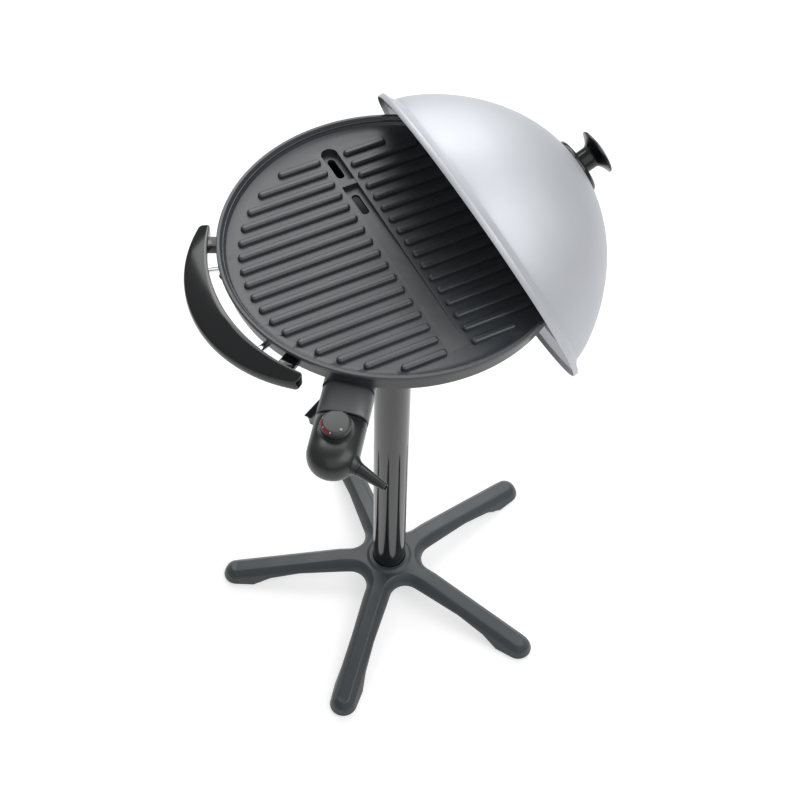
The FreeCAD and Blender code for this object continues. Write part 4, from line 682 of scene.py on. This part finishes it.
def makeNeck():
    # the solid up to the cut, then an arched tube
    cut, end, wall, edge = neck["cut"], neck["end"], neck["wall"], neck["edge"]
    bm = bmesh.new()
    bm.from_mesh(nodes["socket_shroud"].data)
    bmesh.ops.remove_doubles(bm, verts=bm.verts, dist=weldGap * mm)
    bmesh.ops.bisect_plane(bm, geom=list(bm.verts) + list(bm.edges) + list(bm.faces),
                           dist=neck["cutGap"] * mm, plane_co=plugPlace @ Vector((cut * mm, 0, 0)),
                           plane_no=plugPlace.to_3x3() @ Vector((1, 0, 0)), clear_outer=True)
    start = cut - neck["overlap"]
    stations = [(start, wall), (start, 0.0)]
    stations += [(cut + (end - edge - cut) * i / neck["along"], 0.0) for i in range(1, neck["along"] + 1)]
    stations += [(end - roundShare * edge, roundShare * edge), (end, edge), (end, wall), (start, wall)]
    rows = []
    for place, inset in stations:
        row = []
        dip = neck["dip"] * max(0.0, (place - neck["dipFrom"]) / (end - neck["dipFrom"]))
        for i in range(neck["around"]):
            angle = 2 * math.pi * (i + 0.5) / neck["around"]
            side, up = archPoint(neck["half"] - inset, neck["rise"] - inset, dip, neck["bow"], angle)
            row.append(bm.verts.new(plugPlace @ (Vector((place, side, neck["mid"] + up)) * mm)))
        rows.append(row)
    skinRows(bm, rows, True)
    mesh = meshFrom(bm, "neck_arch")
    smoothFaces(mesh, neck["shade"])
    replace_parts(addPiece("neck_arch", mesh, "socket_shroud"), "socket_shroud")


case = {"start": 234.2, "turnAt": 279.8, "half": 29.2, "mid": -52.5, "rise": 21.3, "bow": 2.5, "edge": 1.8,
        "dip": 5.4, "dipTo": 248.0, "dipPower": 1.5, "weld": 0.002, "around": 16, "along": 8, "cap": 28,
        "shade": 40.0}
nozzle = {"root": (285.8, 17.9, -52.5), "turn": 61.5, "foot": 1.0, "from": 2.0, "long": 16.0, "radius": 7.9,
          "flare": 9.1, "bow": 1.7, "lipLong": 0.5, "lipIn": 0.4, "steps": 14, "turns": 64}
nozzlePlace = (plugPlace @ Matrix.Translation(Vector(nozzle["root"]) * mm)
               @ Matrix.Rotation(math.radians(nozzle["turn"]), 4, "Z") @ Matrix.Rotation(math.pi / 2, 4, "Y"))
collar = {"place": (258.5, -0.6), "radius": 19.9, "foot": 22.6, "top": -31.05, "low": -43.0,
          "edge": ((-0.6, 0.0), (0.0, -0.5), (0.5, -3.0)), "turns": 96}
collarPlace = plugPlace @ Matrix.Translation(Vector((*collar["place"], 0)) * mm)


def caseStations():
    # place along the plug's line, turn about the case's far end, inset of the rounded near edge
    start, edge, turnAt = case["start"], case["edge"], case["turnAt"]
    first = start + edge
    straight = [(start, edge), (start + roundShare * edge, roundShare * edge), (first, 0.0)]
    straight += [(first + (turnAt - first) * i / case["along"], 0.0) for i in range(1, case["along"] + 1)]
    stations = [(place, 0.0, inset) for place, inset in straight]
    stations += [(turnAt, 180.0 * i / case["cap"], 0.0) for i in range(1, case["cap"])]
    stations += [(place, 180.0, inset) for place, inset in reversed(straight)]
    return stations


def nozzleOutline():
    radius, start, long = nozzle["radius"], nozzle["from"], nozzle["long"]
    outline = [(0.0, nozzle["foot"]), (radius + nozzle["flare"], nozzle["foot"])]
    for i in range(nozzle["steps"] + 1):
        share = i / nozzle["steps"]
        outline.append((radius + nozzle["flare"] * (1 - share) ** nozzle["bow"],
                        start + (long - nozzle["lipLong"] - start) * share))
    return outline + [(radius - nozzle["lipIn"], long), (0.0, long)]


def collarOutline():
    top, low = collar["top"], collar["low"]
    edge = cornerPoints(collar["radius"], top, collar["edge"])
    return [(0.0, top), *edge, (collar["foot"], low), (0.0, low)]


def makeCase():
    bm = bmesh.new()
    rows = []
    for place, turn, inset in caseStations():
        row = []
        dipShare = max(0.0, (case["dipTo"] - place) / (case["dipTo"] - case["start"]))
        dip = case["dip"] * dipShare ** case["dipPower"]
        turned = math.radians(turn)
        for i in range(2 * case["around"] + 1):
            angle = math.pi / 2 - math.pi * i / (2 * case["around"])
            out, up = archPoint(case["half"] - inset, case["rise"] - inset, dip, case["bow"], angle)
            along, side = place + abs(out) * math.sin(turned), abs(out) * math.cos(turned)
            row.append(bm.verts.new(plugPlace @ (Vector((along, side, case["mid"] + up)) * mm)))
        rows.append(row)
    skinRows(bm, rows, False)
    bmesh.ops.remove_doubles(bm, verts=bm.verts, dist=case["weld"] * mm)
    bmesh.ops.holes_fill(bm, edges=[e for e in bm.edges if e.is_boundary], sides=0)
    latheInto(bm, nozzleOutline(), nozzle["turns"], nozzlePlace)
    latheInto(bm, collarOutline(), collar["turns"], collarPlace)
    mesh = meshFrom(bm, "thermostat_egg")
    smoothFaces(mesh, case["shade"])
    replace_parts(addPiece("thermostat_egg", mesh, "thermostat_upper_case"),
                "thermostat_upper_case", "thermostat_lower_case")


sleeve = {"long": 36.0, "radius": 7.6, "end": 4.2, "hole": 3.1, "deep": 10.0, "root": 5.0, "back": 8.0,
          "gap": 0.35, "shoulder": ((-0.3, 0.0), (0.0, 0.45), (-0.15, 1.65)),
          "lip": ((0.1, -0.9), (-0.1, -0.3), (-0.4, 0.0)), "turns": 64, "shade": 40.0}


def makeSleeve():
    face = nozzle["long"]
    back, seat, tip = face - sleeve["back"], face + sleeve["gap"], face + sleeve["long"]
    holeEnd = tip - sleeve["deep"]
    outline = [(0.0, back), (sleeve["root"], back), (sleeve["root"], seat)]
    outline += cornerPoints(sleeve["radius"], seat, sleeve["shoulder"])
    outline += cornerPoints(sleeve["end"], tip, sleeve["lip"])
    outline += [(sleeve["hole"], tip), (sleeve["hole"], holeEnd), (0.0, holeEnd)]
    mesh = latheMesh("cord_sleeve_cone", outline, sleeve["turns"], nozzlePlace)
    smoothFaces(mesh, sleeve["shade"])
    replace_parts(addPiece("cord_sleeve_cone", mesh, "cord_sleeve"), "cord_sleeve")


dial = {"seat": -29.0, "radius": 17.0, "high": 9.5, "face": 13.9, "fall": 2.7, "footEdge": 0.4,
        "skirtTop": ((0.0, -0.5), (-0.25, 0.0)), "faceEdge": ((0.5, -0.3), (0.0, -0.06), (-0.6, 0.0)),
        "turns": 128, "shade": 40.0}
dialPlace = Matrix.Translation(plugPlace @ (Vector((*collar["place"], dial["seat"])) * mm))
skirtPoints = cornerPoints(dial["radius"], dial["high"] - dial["fall"], dial["skirtTop"])
facePoints = cornerPoints(dial["face"], dial["high"], dial["faceEdge"])


def makeDial():
    edge, foot = dial["radius"], dial["footEdge"]
    outline = [(0.0, 0.0), (edge - foot, 0.0), (edge, foot), *skirtPoints, *facePoints, (0.0, dial["high"])]
    mesh = latheMesh("dial_cap", outline, dial["turns"], dialPlace)
    smoothFaces(mesh, dial["shade"])
    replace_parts(addPiece("dial_cap", mesh, "dial"), "dial")


# angles in degrees; the strips keep off the face and the rim, and lie a hair above the dial
heatArc = {"from": 133.0, "to": 222.0, "offFace": 0.7, "offRim": 0.5, "lift": 0.08, "steps": 40}
ticks = {"at": (41.0, 85.0, 130.0, 178.0, 219.0), "half": 2.6, "offFace": 0.9, "offRim": 0.9, "lift": 0.14,
         "steps": 3}
offMark = {"at": 271.0, "out": 11.9, "inner": 0.75, "outer": 1.3, "lift": 0.05, "turns": 24}


def sweepStrip(bm, strip, start, end):
    # a printed strip on the dial's sloping edge
    (highRadius, high), (lowRadius, low) = facePoints[0], skirtPoints[-1]
    slope = (low - high) / (lowRadius - highRadius)
    radii = (dial["face"] + strip["offFace"], dial["radius"] - strip["offRim"])
    rows = []
    for i in range(strip["steps"] + 1):
        a = math.radians(start + (end - start) * i / strip["steps"])
        spots = [(r * math.cos(a), r * math.sin(a), high + strip["lift"] + slope * (r - highRadius))
                 for r in radii]
        rows.append([bm.verts.new(dialPlace @ (Vector(spot) * mm)) for spot in spots])
    skinRows(bm, rows, False)


def printDial():
    red = bmesh.new()
    sweepStrip(red, heatArc, heatArc["from"], heatArc["to"])
    addPiece("dial_heat_arc", meshFrom(red, "dial_heat_arc"), "dial", "print_red")
    white = bmesh.new()
    for angle in ticks["at"]:
        sweepStrip(white, ticks, angle - ticks["half"], angle + ticks["half"])
    a, out = math.radians(offMark["at"]), offMark["out"]
    spot = Vector((out * math.cos(a), out * math.sin(a), dial["high"] + offMark["lift"]))
    around = [2 * math.pi * i / offMark["turns"] for i in range(offMark["turns"])]
    rings = [[white.verts.new(dialPlace @ ((spot + Vector((r * math.cos(t), r * math.sin(t), 0))) * mm))
              for t in around] for r in (offMark["inner"], offMark["outer"])]
    skinRows(white, rings, True)
    addPiece("dial_ticks", meshFrom(white, "dial_ticks"), "dial", "print_white")


makeNeck()
makeCase()
makeSleeve()
makeDial()
printDial()
print("thermostat: neck, case, sleeve, dial and its print")


# base, table stand, pads and plate: copies of the solids with their hard edges rounded

softEdges = {"star_base": 1.6, "table_stand": 0.8, "foot_pads": 0.6, "grill_plate": 1.2}  # widths in mm
softAngles = {"flat": 0.6, "hard": 28.0, "shade": 40.0}


def softCopy(node, width):
    bm = bmesh.new()
    bm.from_mesh(nodes[node].data)
    bmesh.ops.remove_doubles(bm, verts=bm.verts, dist=weldGap * mm)
    flat, hard = math.radians(softAngles["flat"]), math.radians(softAngles["hard"])
    bmesh.ops.dissolve_limit(bm, angle_limit=flat, verts=bm.verts, edges=bm.edges)
    roundEdges(bm, [e for e in bm.edges if len(e.link_faces) == 2 and e.calc_face_angle(0.0) > hard], width)
    mesh = meshFrom(bm, node + "_soft")
    smoothFaces(mesh, softAngles["shade"])
    obj = addPiece(node + "_soft", mesh, node)
    weigh = obj.modifiers.new("evenNormals", "WEIGHTED_NORMAL")
    weigh.keep_sharp = True
    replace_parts(obj, node)


for softNode, softWidth in softEdges.items():
    softCopy(softNode, softWidth)
print("soft copies: %d" % len(softEdges))
